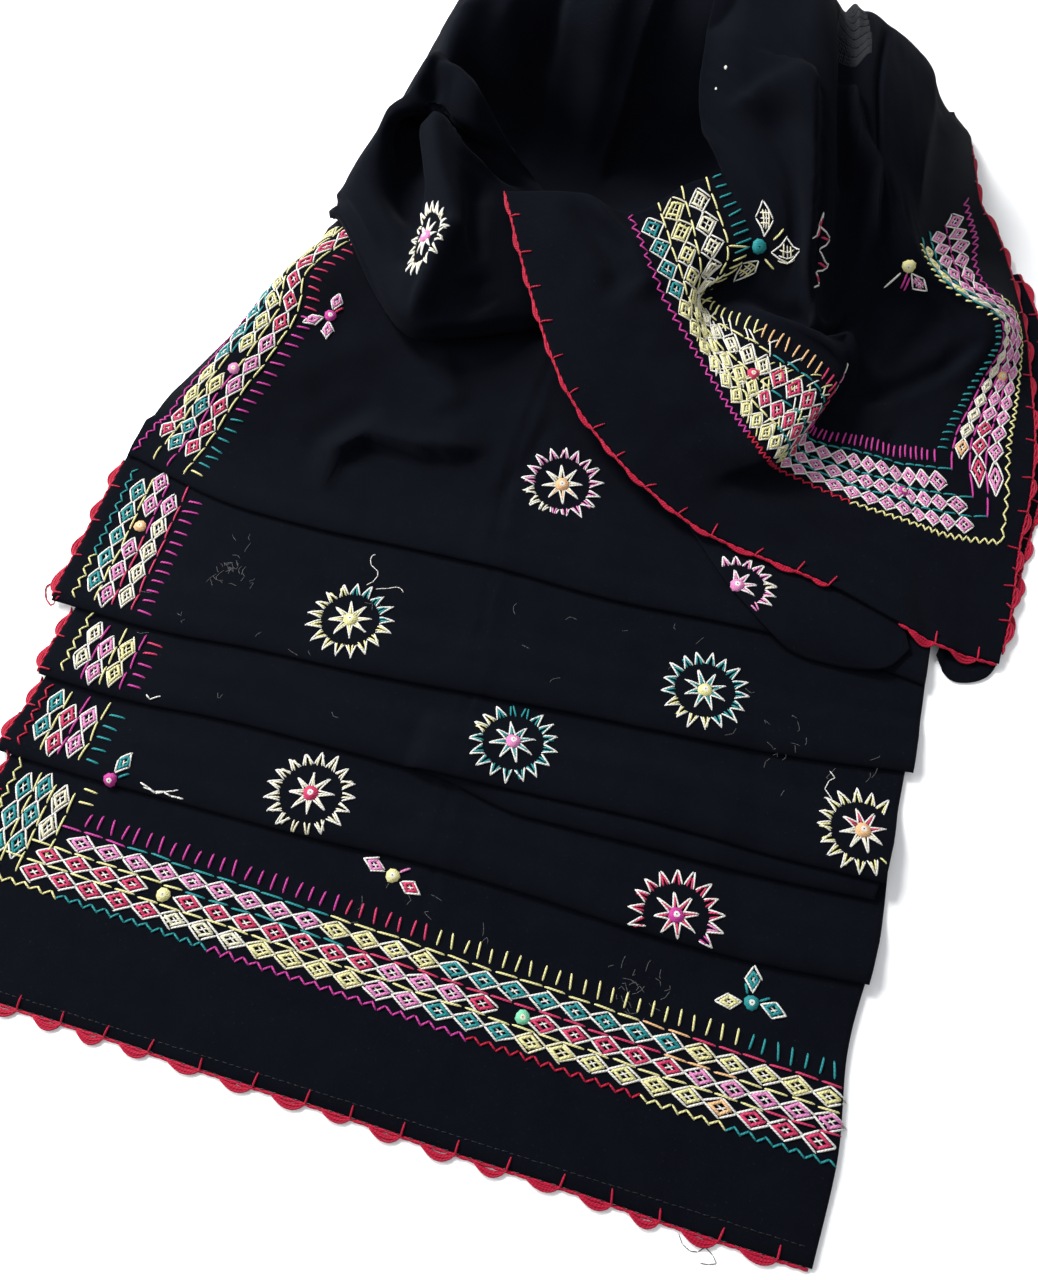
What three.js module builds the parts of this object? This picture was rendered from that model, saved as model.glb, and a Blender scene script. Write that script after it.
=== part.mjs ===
// An embroidered cotton shawl, doubled lengthwise and laid down on a table. One end lies flat in knife
// pleats, and the middle is gathered into a heap with an open fold, from which the other end falls forward
// as a flap. Millimetres: x runs along the hem, y away from the hem, z up from the table.
import * as THREE from "three";
import { mergeVertices } from "three/addons/utils/BufferGeometryUtils.js";

const WALL = 1.8; // the doubled cotton with the air in it
const FLAT = 2.2; // a pleat's height where no other lies under it
const GAP = 0.35; // between cloth and what it lies on
const DRAPE_GAP = 0.6; // the same where both are curved
const LAP = 18; // how far a pleat runs on under the next one
const LAPPED = LAP + 3; // a pleat's underside stays raised to here, and is down on the table by LANDED
const LANDED = LAP + 7;
const REACH = 5; // cloth bridges hollows narrower than twice this
const STEEPEST = 0.42; // the least upward part of a normal that the wall is measured along
const EDGING_DEPTH = 4.6; // the crocheted scallops, measured out from the cloth
const EDGING_THICK = 1.6;
const SCALLOP = 23; // from one scallop to the next
const SCALLOP_STEPS = 5;
const SCALLOP_NECK = 0.34; // the cord between two scallops, as a share of their depth
const EDGING_ROUND = 0.4; // taken off the edging's outer corners
const OWN_CLOTH = 2.6; // nearer to the edge than this, the edge's own cloth counts as what lies beneath
const FLAP_EDGING_DEPTH = 3.6;
const MIDDLE = { x: 24.1, y: 353.5 }; // the middle of everything laid down

const BLACK = new THREE.MeshStandardMaterial({ color: 0x0b0d12, roughness: 0.92, metalness: 0 });
const RED = new THREE.MeshStandardMaterial({ color: 0xb81230, roughness: 0.85, metalness: 0 });
const shawl = new THREE.Group();

// A smooth line through values at rising knots.
function along(knots, values, at) {
  const last = knots.length - 1;
  const slope = (k) => {
    const [a, b] = [Math.max(k - 1, 0), Math.min(k + 1, last)];
    return (values[b] - values[a]) / (knots[b] - knots[a]);
  };
  let i = 0;
  while (i < last - 1 && at > knots[i + 1]) i += 1;
  const span = knots[i + 1] - knots[i];
  const t = Math.min(Math.max((at - knots[i]) / span, 0), 1);
  const rise = values[i + 1] - values[i];
  const bend = (slope(i) * (1 - t) ** 2 * t - slope(i + 1) * t ** 2 * (1 - t)) * span;
  return values[i] + rise * t * t * (3 - 2 * t) + bend;
}

const ease = (t) => {
  const k = Math.min(Math.max(t, 0), 1);
  return k * k * (3 - 2 * k);
};
const mix = (a, b, t) => a + (b - a) * t;
const steps = (from, to, count) => Array.from({ length: count + 1 }, (_, i) => mix(from, to, i / count));

// ---- what lies on the table so far, as heights on a square grid of 1 mm ----
const FIELD = { left: -260, front: -20, wide: 560, deep: 780 };
const SAMPLES = 1.5; // taken in each millimetre of a surface

class Field {
  constructor(empty, pick) {
    this.heights = new Float32Array(FIELD.wide * FIELD.deep).fill(empty);
    this.empty = empty;
    this.pick = pick;
  }
  index(x, y) {
    const i = Math.round(x - FIELD.left);
    const j = Math.round(y - FIELD.front);
    return i < 0 || j < 0 || i >= FIELD.wide || j >= FIELD.deep ? -1 : j * FIELD.wide + i;
  }
  add(grid) {
    for (let i = 0; i + 1 < grid.length; i += 1)
      for (let j = 0; j + 1 < grid[i].length; j += 1)
        this.addQuad(grid[i][j], grid[i][j + 1], grid[i + 1][j + 1], grid[i + 1][j]);
  }
  addQuad(a, b, c, d) {
    const n = Math.ceil(Math.max(a.distanceTo(b), d.distanceTo(c)) * SAMPLES) + 1;
    const m = Math.ceil(Math.max(a.distanceTo(d), b.distanceTo(c)) * SAMPLES) + 1;
    const [near, far, p] = [new THREE.Vector3(), new THREE.Vector3(), new THREE.Vector3()];
    for (let i = 0; i <= n; i += 1) {
      near.lerpVectors(a, b, i / n);
      far.lerpVectors(d, c, i / n);
      for (let j = 0; j <= m; j += 1) {
        p.lerpVectors(near, far, j / m);
        const k = this.index(p.x, p.y);
        if (k >= 0) this.heights[k] = this.pick(this.heights[k], p.z);
      }
    }
  }
  within(x, y, reach, pick) {
    let found = this.heights[this.index(x, y)] ?? this.empty;
    for (let dx = -reach; dx <= reach; dx += 1)
      for (let dy = -reach; dy <= reach; dy += 1) {
        const k = this.index(x + dx, y + dy);
        if (k >= 0 && dx * dx + dy * dy <= reach * reach) found = pick(found, this.heights[k]);
      }
    return found;
  }
}

const laid = new Field(0, Math.max); // the top of everything laid so far
const roof = new Field(Infinity, Math.min); // the lowest underside over each place

// ---- solids from grids: rows run away from the hem, columns to the right ----
const SAME_PLACE = 0.002; // corners nearer than this are one

function addSolid(name, material, quads) {
  const position = [];
  for (const [a, b, c, d] of quads)
    for (const p of [a, b, c, a, c, d]) position.push(p.x, p.y, p.z);
  const loose = new THREE.BufferGeometry();
  loose.setAttribute("position", new THREE.Float32BufferAttribute(position, 3));
  const merged = mergeVertices(loose, SAME_PLACE);
  const corners = [];
  for (let i = 0; i < merged.index.count; i += 3) {
    const [a, b, c] = [0, 1, 2].map((k) => merged.index.getX(i + k));
    if (a !== b && b !== c && c !== a) corners.push(a, b, c);
  }
  merged.setIndex(corners);
  merged.computeVertexNormals();
  const mesh = new THREE.Mesh(merged, material);
  mesh.name = name;
  shawl.add(mesh);
}

function slab(name, material, top, bottom) {
  const quads = [];
  const rows = top.length - 1;
  const columns = top[0].length - 1;
  for (let i = 0; i < rows; i += 1)
    for (let j = 0; j < columns; j += 1) {
      quads.push([top[i][j], top[i][j + 1], top[i + 1][j + 1], top[i + 1][j]]);
      quads.push([bottom[i][j], bottom[i + 1][j], bottom[i + 1][j + 1], bottom[i][j + 1]]);
    }
  for (let j = 0; j < columns; j += 1) {
    quads.push([bottom[0][j], bottom[0][j + 1], top[0][j + 1], top[0][j]]);
    quads.push([top[rows][j], top[rows][j + 1], bottom[rows][j + 1], bottom[rows][j]]);
  }
  for (let i = 0; i < rows; i += 1) {
    quads.push([top[i][0], top[i + 1][0], bottom[i + 1][0], bottom[i][0]]);
    quads.push([bottom[i][columns], bottom[i + 1][columns], top[i + 1][columns], top[i][columns]]);
  }
  addSolid(name, material, quads);
  laid.add(top);
  roof.add(bottom);
}

// The upward part of the unit normal at a point of a grid.
function uprightness(grid, i, j) {
  const rows = grid.length - 1;
  const columns = grid[0].length - 1;
  const acrossIt = grid[i][Math.min(j + 1, columns)].clone().sub(grid[i][Math.max(j - 1, 0)]);
  const awayFromHem = grid[Math.min(i + 1, rows)][j].clone().sub(grid[Math.max(i - 1, 0)][j]);
  return Math.abs(acrossIt.cross(awayFromHem).normalize().z);
}

// Lays a sheet down: it keeps its own form, but never sinks into what is already there.
function layDown(name, grid, reach = REACH, wall = WALL) {
  const drops = grid.map((row, i) => row.map((_, j) => wall / Math.max(uprightness(grid, i, j), STEEPEST)));
  const bottom = grid.map((row, i) =>
    row.map((p, j) => {
      const beneath = laid.within(p.x, p.y, reach, Math.max);
      const rest = beneath > 0 ? beneath + DRAPE_GAP : 0;
      return new THREE.Vector3(p.x, p.y, Math.max(p.z - drops[i][j], rest));
    }),
  );
  const top = bottom.map((row, i) => row.map((p, j) => new THREE.Vector3(p.x, p.y, p.z + drops[i][j])));
  slab(name, BLACK, top, bottom);
  return { top, bottom };
}

// ---- the crocheted edging: scallops along the cloth's edges ----
// Follows points of an edge with the cloth on its left, and stands EDGING_DEPTH out at each scallop's crown.
function layEdging(name, edge, depth = EDGING_DEPTH) {
  const curve = new THREE.CatmullRomCurve3(edge, false, "centripetal");
  const length = curve.getLength();
  const scallops = Math.max(Math.round(length / SCALLOP), 1);
  const count = scallops * SCALLOP_STEPS;
  const grid = { top: [[], [], []], bottom: [[], [], []] };
  for (let i = 0; i <= count; i += 1) {
    const at = curve.getPointAt(i / count);
    const way = curve.getTangentAt(i / count);
    const out = new THREE.Vector3(way.y, -way.x, 0).normalize();
    const phase = (i / SCALLOP_STEPS) % 1;
    const bulge = Math.sin(Math.PI * phase ** 0.8) ** 0.8;
    const wide = depth * mix(SCALLOP_NECK, 1, bulge);
    [0, wide * 0.6, wide].forEach((offset, k) => {
      const p = at.clone().addScaledVector(out, GAP + offset);
      const clear = at.clone().addScaledVector(out, Math.max(offset, OWN_CLOTH));
      const beneath = laid.within(clear.x, clear.y, 1, Math.max);
      const low = Math.max(at.z - EDGING_THICK * (0.5 + 0.35 * k), beneath > 0 ? beneath + GAP : 0);
      const rounding = k === 2 ? EDGING_ROUND : 0;
      grid.bottom[k].push(new THREE.Vector3(p.x, p.y, low + rounding));
      grid.top[k].push(new THREE.Vector3(p.x, p.y, low + EDGING_THICK - rounding));
    });
  }
  slab(name, RED, [...grid.top].reverse(), [...grid.bottom].reverse());
}

const midway = (grids, i, j) => grids.top[i][j].clone().lerp(grids.bottom[i][j], 0.5);
const rowOf = (grids, i, from, to) => steps(from, to, to - from).map((j) => midway(grids, i, j));
const columnOf = (grids, j, from, to) => steps(from, to, Math.abs(to - from)).map((i) => midway(grids, i, j));

// ---- the pleated end ----
// Each line is where a pleat's folded nose lies, as its distance from the hem at each station along it.
const STATIONS = [-215, -160, -105, -50, 5, 60, 115, 170, 225];
const NOSES = {
  hem: [2, 1, 1, 0, 0, -1, -1, -2, -2],
  first: [110, 109, 110, 111, 114, 114, 112, 113, 118],
  second: [153, 152, 156, 157, 149, 150, 151.5, 153, 157],
  third: [153, 152, 156, 157, 158, 161, 163.5, 163, 165],
  fourth: [193, 192, 196.5, 199, 203.5, 208, 211.5, 216, 224],
  fifth: [287, 274.5, 272.5, 275, 276, 275, 278, 278.5, 272],
};
const noseAt = (line, x) => along(STATIONS, NOSES[line], x);

// A pleat runs from its own nose to LAP past the next one. Its left and right edges are given as x, at even
// steps from the nose to the far end.
const PLEATS = [
  { name: "hem_panel", nose: "hem", next: "first", left: [-210, -209, -206, -205],
    right: [213, 221, 217, 222] },
  { name: "pleat_one", nose: "first", next: "second", left: [-213, -214, -212], right: [221, 223, 222] },
  { name: "pleat_two", nose: "second", next: "third", left: [-8, -6, -4], right: [217, 219, 219] },
  { name: "pleat_three", nose: "third", next: "fourth", left: [-219, -214, -211], right: [220, 222, 223] },
  { name: "pleat_four", nose: "fourth", next: "fifth", left: [-224, -223, -221], right: [226, 226, 225] },
];
const FALL_END = 38; // past its nose a pleat comes down to the table by here
const ACROSS = [0, 0.012, 0.1, 0.2, 0.32, 0.44, 0.47, 0.5, 0.58, 0.69, 0.8, 0.9, 0.988, 1];
const NOSE_ROWS = [
  // past the nose, and how much of the wall the rounded nose has there
  { past: 0, share: 0.24 },
  { past: 0.5, share: 0.76 },
  { past: 1.6, share: 1 },
  { past: 9, share: 1 },
  { past: LAPPED, share: 1 },
];

function edgeAt(values, fraction) {
  return along(steps(0, 1, values.length - 1), values, fraction);
}

function pleatRows(pleat) {
  const rows = [];
  const middle = (pleat.left[0] + pleat.right[0]) / 2;
  const length = noseAt(pleat.next, middle) + LAP - noseAt(pleat.nose, middle);
  const beyond = [LANDED, 30, FALL_END].filter((past) => past < length - 8);
  const open = length > 80 ? [60, length - LAP - 2] : [];
  for (const row of NOSE_ROWS) rows.push({ ...row, fraction: row.past / length });
  for (const past of [...beyond, ...open, length]) rows.push({ past, share: 1, fraction: past / length });
  return rows.filter((row) => row.past <= length);
}

// The height that a pleat's underside keeps while it lies on the pleat before it.
const ON_CLOTH = { left: -200, right: 212, around: 7 };

function heightUnder(x, nose) {
  const { left, right, around } = ON_CLOTH;
  const inside = Math.min(Math.max(x, left), right);
  const places = [-around, 0, around].flatMap((dx) => [2, 10, LAP - 1].map((dy) => [inside + dx, nose + dy]));
  return Math.max(...places.map(([px, py]) => laid.within(px, py, 1, Math.max))) + GAP;
}

function layPleat(pleat, index) {
  const onTable = index === 0;
  const grids = { top: [], bottom: [] };
  for (const row of pleatRows(pleat)) {
    const [top, bottom] = [[], []];
    for (const f of ACROSS) {
      const x = mix(edgeAt(pleat.left, row.fraction), edgeAt(pleat.right, row.fraction), f);
      const from = noseAt(pleat.nose, x);
      const to = noseAt(pleat.next, x) + LAP;
      const y = row.past <= LAPPED ? from + row.past : mix(from, to, row.fraction);
      const lapped = !onTable && row.past <= LAPPED;
      const raised = onTable ? 0 : heightUnder(x, from);
      const low = lapped ? raised : 0;
      const settled = mix(raised + WALL, FLAT, ease((row.past - LAPPED) / (FALL_END - LAPPED)));
      const high = onTable ? FLAT : settled;
      const thick = high - low;
      const pinch = (1 - row.share) / 2;
      top.push(new THREE.Vector3(x, y, high - thick * pinch));
      bottom.push(new THREE.Vector3(x, y, low + thick * pinch));
    }
    grids.top.push(top);
    grids.bottom.push(bottom);
  }
  slab(pleat.name, BLACK, grids.top, grids.bottom);
  return grids;
}

const pleats = PLEATS.map(layPleat);

// The upper panel goes from the fifth nose up into the heap. Rows: distance from the hem, the panel's left
// and right edge, and heights at the named places across it.
const PANEL_PLACES = { edge: 0, roll: 0.055, flank: 0.2, middle: 0.42, far: 0.7, end: 1 };
const PANEL = [
  { y: 305, left: -220, right: 224, edge: 2.6, roll: 5, flank: 3.6, middle: 3, far: 3, end: 2.4 },
  { y: 330, left: -216, right: 212, edge: 2.6, roll: 14, flank: 9, middle: 4, far: 3, end: 2.4 },
  { y: 355, left: -207, right: 200, edge: 2.6, roll: 21, flank: 13, middle: 9, far: 4, end: 2.4 },
  { y: 385, left: -197, right: 185, edge: 2.6, roll: 27, flank: 20, middle: 12, far: 6, end: 2.6 },
  { y: 415, left: -187, right: 165, edge: 2.6, roll: 31, flank: 25, middle: 16, far: 9, end: 4 },
  { y: 450, left: -171, right: 150, edge: 2.6, roll: 30, flank: 26, middle: 18, far: 12, end: 6 },
  { y: 485, left: -164, right: 130, edge: 2.6, roll: 26, flank: 22, middle: 18, far: 12, end: 6 },
];
const PANEL_NOSE = { left: -220, right: 225 };
const PANEL_ROWS = [318, 330, 342, 355, 370, 385, 400, 415, 432, 450, 468];
const PANEL_ACROSS = [0, 0.02, 0.055, 0.1, 0.15, 0.2, 0.3, 0.4, 0.5, 0.62, 0.74, 0.86, 0.97, 1];

function panelHeight(row, f) {
  const heights = Object.keys(PANEL_PLACES).map((place) => row[place]);
  return along(Object.values(PANEL_PLACES), heights, f);
}

function layUpperPanel() {
  const [top, bottom] = [[], []];
  for (const row of NOSE_ROWS.concat([{ past: LANDED, share: 1 }])) {
    const [high, low] = [[], []];
    for (const f of PANEL_ACROSS) {
      const x = mix(PANEL_NOSE.left, PANEL_NOSE.right, f);
      const nose = noseAt("fifth", x);
      const raised = heightUnder(x, nose);
      const floor = row.past <= LAPPED ? raised : 0;
      const pinch = ((1 - row.share) / 2) * WALL;
      high.push(new THREE.Vector3(x, nose + row.past, raised + WALL - pinch));
      low.push(new THREE.Vector3(x, nose + row.past, floor + pinch));
    }
    top.push(high);
    bottom.push(low);
  }
  const knots = PANEL.map((row) => row.y);
  for (const y of PANEL_ROWS) {
    const surface = PANEL_ACROSS.map((f) => {
      const left = along(knots, PANEL.map((row) => row.left), y);
      const right = along(knots, PANEL.map((row) => row.right), y);
      const z = along(knots, PANEL.map((row) => panelHeight(row, f)), y);
      return new THREE.Vector3(mix(left, right, f), y, z);
    });
    top.push(surface);
    bottom.push(surface.map((p) => p.clone()));
  }
  const first = NOSE_ROWS.length + 1;
  for (let i = first; i < top.length; i += 1)
    for (let j = 0; j < top[i].length; j += 1) {
      const drop = WALL / Math.max(uprightness(top, i, j), STEEPEST);
      bottom[i][j].z = Math.max(top[i][j].z - drop, 0);
    }
  slab("upper_panel", BLACK, top, bottom);
}

layUpperPanel();

// ---- sheets of the heap: each row is a section, each named column a fold line, [x, y, z] on the face ----
function foldedSheet(table, knots, count) {
  const lines = Object.keys(knots);
  const across = Object.values(knots);
  const rows = table.map((row) => row.from);
  const at = (u, v, k) =>
    along(rows, table.map((row) => along(across, lines.map((line) => row[line][k]), u)), v);
  return steps(rows[0], rows.at(-1), count.rows).map((v) =>
    steps(across[0], across.at(-1), count.columns).map(
      (u) => new THREE.Vector3(at(u, v, 0), at(u, v, 1), at(u, v, 2)),
    ),
  );
}

// The open fold's floor, its back wall, the crest and the slope behind it. "from" counts along the cloth.
const COWL_LINES = {
  edge: 0, shoulder: 80, left: 125, seam: 170, middle: 200, crease: 230, right: 270, end: 320,
};
const COWL = [
  { from: -45, edge: [-138, 540, 4], shoulder: [-120, 536, 26], left: [-98, 512, 26], seam: [-62, 490, 30],
    middle: [-28, 480, 44], crease: [5, 478, 48], right: [48, 500, 50], end: [86, 530, 54] },
  { from: -10, edge: [-140, 548, 4], shoulder: [-118, 545, 36], left: [-98, 524, 28], seam: [-61, 503, 26],
    middle: [-28, 497, 24], crease: [6, 497, 25], right: [50, 516, 32], end: [88, 544, 46] },
  { from: 15, edge: [-142, 558, 4], shoulder: [-118, 554, 46], left: [-98, 543, 32], seam: [-58, 525, 16],
    middle: [-28, 519, 13], crease: [5, 520, 14], right: [46, 538, 21], end: [88, 560, 44] },
  { from: 45, edge: [-144, 568, 4], shoulder: [-120, 563, 56], left: [-98, 566, 42], seam: [-56, 550, 15],
    middle: [-28, 545, 11], crease: [3, 548, 12], right: [42, 566, 20], end: [87, 580, 46] },
  { from: 72, edge: [-148, 580, 4], shoulder: [-121, 573, 68], left: [-94, 579, 62], seam: [-54, 570, 26],
    middle: [-27, 566, 20], crease: [-4, 568, 22], right: [38, 586, 34], end: [84, 600, 60] },
  { from: 105, edge: [-156, 597, 4], shoulder: [-119, 585, 80], left: [-90, 591, 80], seam: [-54, 584, 50],
    middle: [-27, 582, 52], crease: [-6, 588, 56], right: [33, 598, 62], end: [80, 612, 82] },
  { from: 145, edge: [-160, 616, 4], shoulder: [-115, 598, 88], left: [-85, 604, 92], seam: [-55, 600, 86],
    middle: [-28, 603, 92], crease: [-6, 608, 90], right: [30, 612, 92], end: [76, 622, 96] },
  { from: 183, edge: [-159, 640, 4], shoulder: [-110, 624, 91], left: [-80, 632, 102], seam: [-52, 636, 104],
    middle: [-25, 640, 108], crease: [0, 640, 106], right: [32, 642, 107], end: [74, 646, 104] },
  { from: 217, edge: [-156, 664, 4], shoulder: [-108, 652, 72], left: [-76, 661, 88], seam: [-50, 665, 92],
    middle: [-24, 668, 92], crease: [2, 668, 92], right: [34, 670, 91], end: [72, 672, 90] },
  { from: 265, edge: [-148, 686, 4], shoulder: [-104, 680, 34], left: [-74, 687, 48], seam: [-48, 689, 46],
    middle: [-22, 691, 50], crease: [4, 691, 47], right: [36, 691, 50], end: [70, 691, 48] },
  { from: 305, edge: [-136, 700, 3], shoulder: [-100, 699, 11], left: [-72, 703, 13], seam: [-46, 704, 12],
    middle: [-20, 705, 14], crease: [6, 705, 12], right: [38, 705, 14], end: [70, 704, 12] },
  { from: 317, edge: [-126, 707, 2.4], shoulder: [-96, 709, 2.4], left: [-70, 711, 2.4], seam: [-44, 712, 2.4],
    middle: [-18, 713, 2.4], crease: [8, 713, 2.4], right: [38, 713, 2.4], end: [68, 711, 2.4] },
];
layDown("cowl", foldedSheet(COWL, COWL_LINES, { rows: 20, columns: 16 }));

// The hood: the panel's cloth pulled up at the left, folded over itself at a lip, with two rolls at the back.
const HOOD_REACH = 7;
const HOOD_LINES = { edge: 0, shoulder: 55, hollow: 90, ridge: 125, inner: 160, under: 200 };
const HOOD = [
  { from: 0, edge: [-163, 464, 16], shoulder: [-148, 452, 27], hollow: [-118, 416, 29], ridge: [-88, 392, 30],
    inner: [-58, 402, 28], under: [-22, 424, 20] },
  { from: 12, edge: [-166, 470, 14], shoulder: [-150, 462, 37], hollow: [-116, 424, 38], ridge: [-87, 398, 41],
    inner: [-56, 410, 36], under: [-22, 432, 24] },
  { from: 42, edge: [-168, 486, 8], shoulder: [-150, 477, 44], hollow: [-110, 446, 46], ridge: [-83, 430, 55],
    inner: [-54, 436, 40], under: [-24, 448, 28] },
  { from: 72, edge: [-168, 505, 5], shoulder: [-146, 492, 52], hollow: [-112, 481, 50], ridge: [-82, 458, 61],
    inner: [-58, 466, 42], under: [-28, 475, 30] },
  { from: 100, edge: [-167, 530, 5], shoulder: [-137, 516, 63], hollow: [-124, 514, 57], ridge: [-98, 488, 69],
    inner: [-68, 492, 46], under: [-34, 500, 28] },
  { from: 125, edge: [-166, 550, 5], shoulder: [-131, 530, 69], hollow: [-121, 526, 60], ridge: [-108, 515, 72],
    inner: [-76, 508, 48], under: [-40, 515, 26] },
  { from: 145, edge: [-163, 562, 5], shoulder: [-128, 540, 74], hollow: [-118, 534, 63], ridge: [-106, 529, 60],
    inner: [-84, 521, 50], under: [-50, 527, 24] },
  { from: 165, edge: [-160, 574, 6], shoulder: [-126, 548, 78], hollow: [-116, 544, 80], ridge: [-104, 541, 80],
    inner: [-88, 533, 73], under: [-66, 531, 50] },
  { from: 195, edge: [-158, 586, 6], shoulder: [-126, 562, 72], hollow: [-112, 558, 70], ridge: [-98, 554, 64],
    inner: [-80, 546, 50], under: [-58, 543, 28] },
];
layDown("hood", foldedSheet(HOOD, HOOD_LINES, { rows: 20, columns: 13 }), HOOD_REACH);

// The other end's lower layer, which shows past the flap along the front and along the right selvedge.
// Rows go along the visible edge: where it is, and where its hidden side is.
const UNDER_FRONT = [
  { edge: [28, 372, 0], hidden: [50, 402, 0] },
  { edge: [63, 351, 0], hidden: [84, 386, 0] },
  { edge: [90, 329, 0], hidden: [114, 366, 0] },
  { edge: [119, 298, 0], hidden: [138, 346, 0] },
  { edge: [151, 274, 0], hidden: [160, 336, 0] },
  { edge: [177, 270, 0], hidden: [178, 330, 0] },
  { edge: [203, 274, 0], hidden: [196, 328, 0] },
  { edge: [214, 288, 0], hidden: [203, 326, 0] },
];
const UNDER_SIDE = [
  { edge: [228, 290, 0], hidden: [236, 318, 0] },
  { edge: [240, 280, 0], hidden: [240, 320, 0] },
  { edge: [257, 289, 0], hidden: [241, 324, 0] },
  { edge: [262, 315, 0], hidden: [240, 332, 0] },
  { edge: [266, 361, 0], hidden: [240, 366, 0] },
  { edge: [271, 405, 0], hidden: [242, 405, 0] },
  { edge: [272, 440, 0], hidden: [242, 440, 0] },
  { edge: [269, 485, 0], hidden: [240, 480, 0] },
  { edge: [258, 527, 0], hidden: [230, 515, 0] },
  { edge: [243, 560, 0], hidden: [214, 545, 0] },
];

const STRIP_ACROSS = [0, 0.1, 0.22, 0.36, 0.55, 0.78, 1];

function layStrip(name, table, count, reach) {
  const knots = table.map((_, i) => i);
  const point = (side, v) =>
    new THREE.Vector3(...[0, 1, 2].map((k) => along(knots, table.map((row) => row[side][k]), v)));
  const grid = STRIP_ACROSS.map((u) =>
    steps(0, table.length - 1, count).map((v) => point("edge", v).lerp(point("hidden", v), u)),
  );
  return layDown(name, grid, reach);
}

layStrip("flap_under_front", UNDER_FRONT, 16, 6);
const underSide = layStrip("flap_under_side", UNDER_SIDE, 18, 4);
layEdging("under_side_edging", rowOf(underSide, 0, 6, 18));

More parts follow.
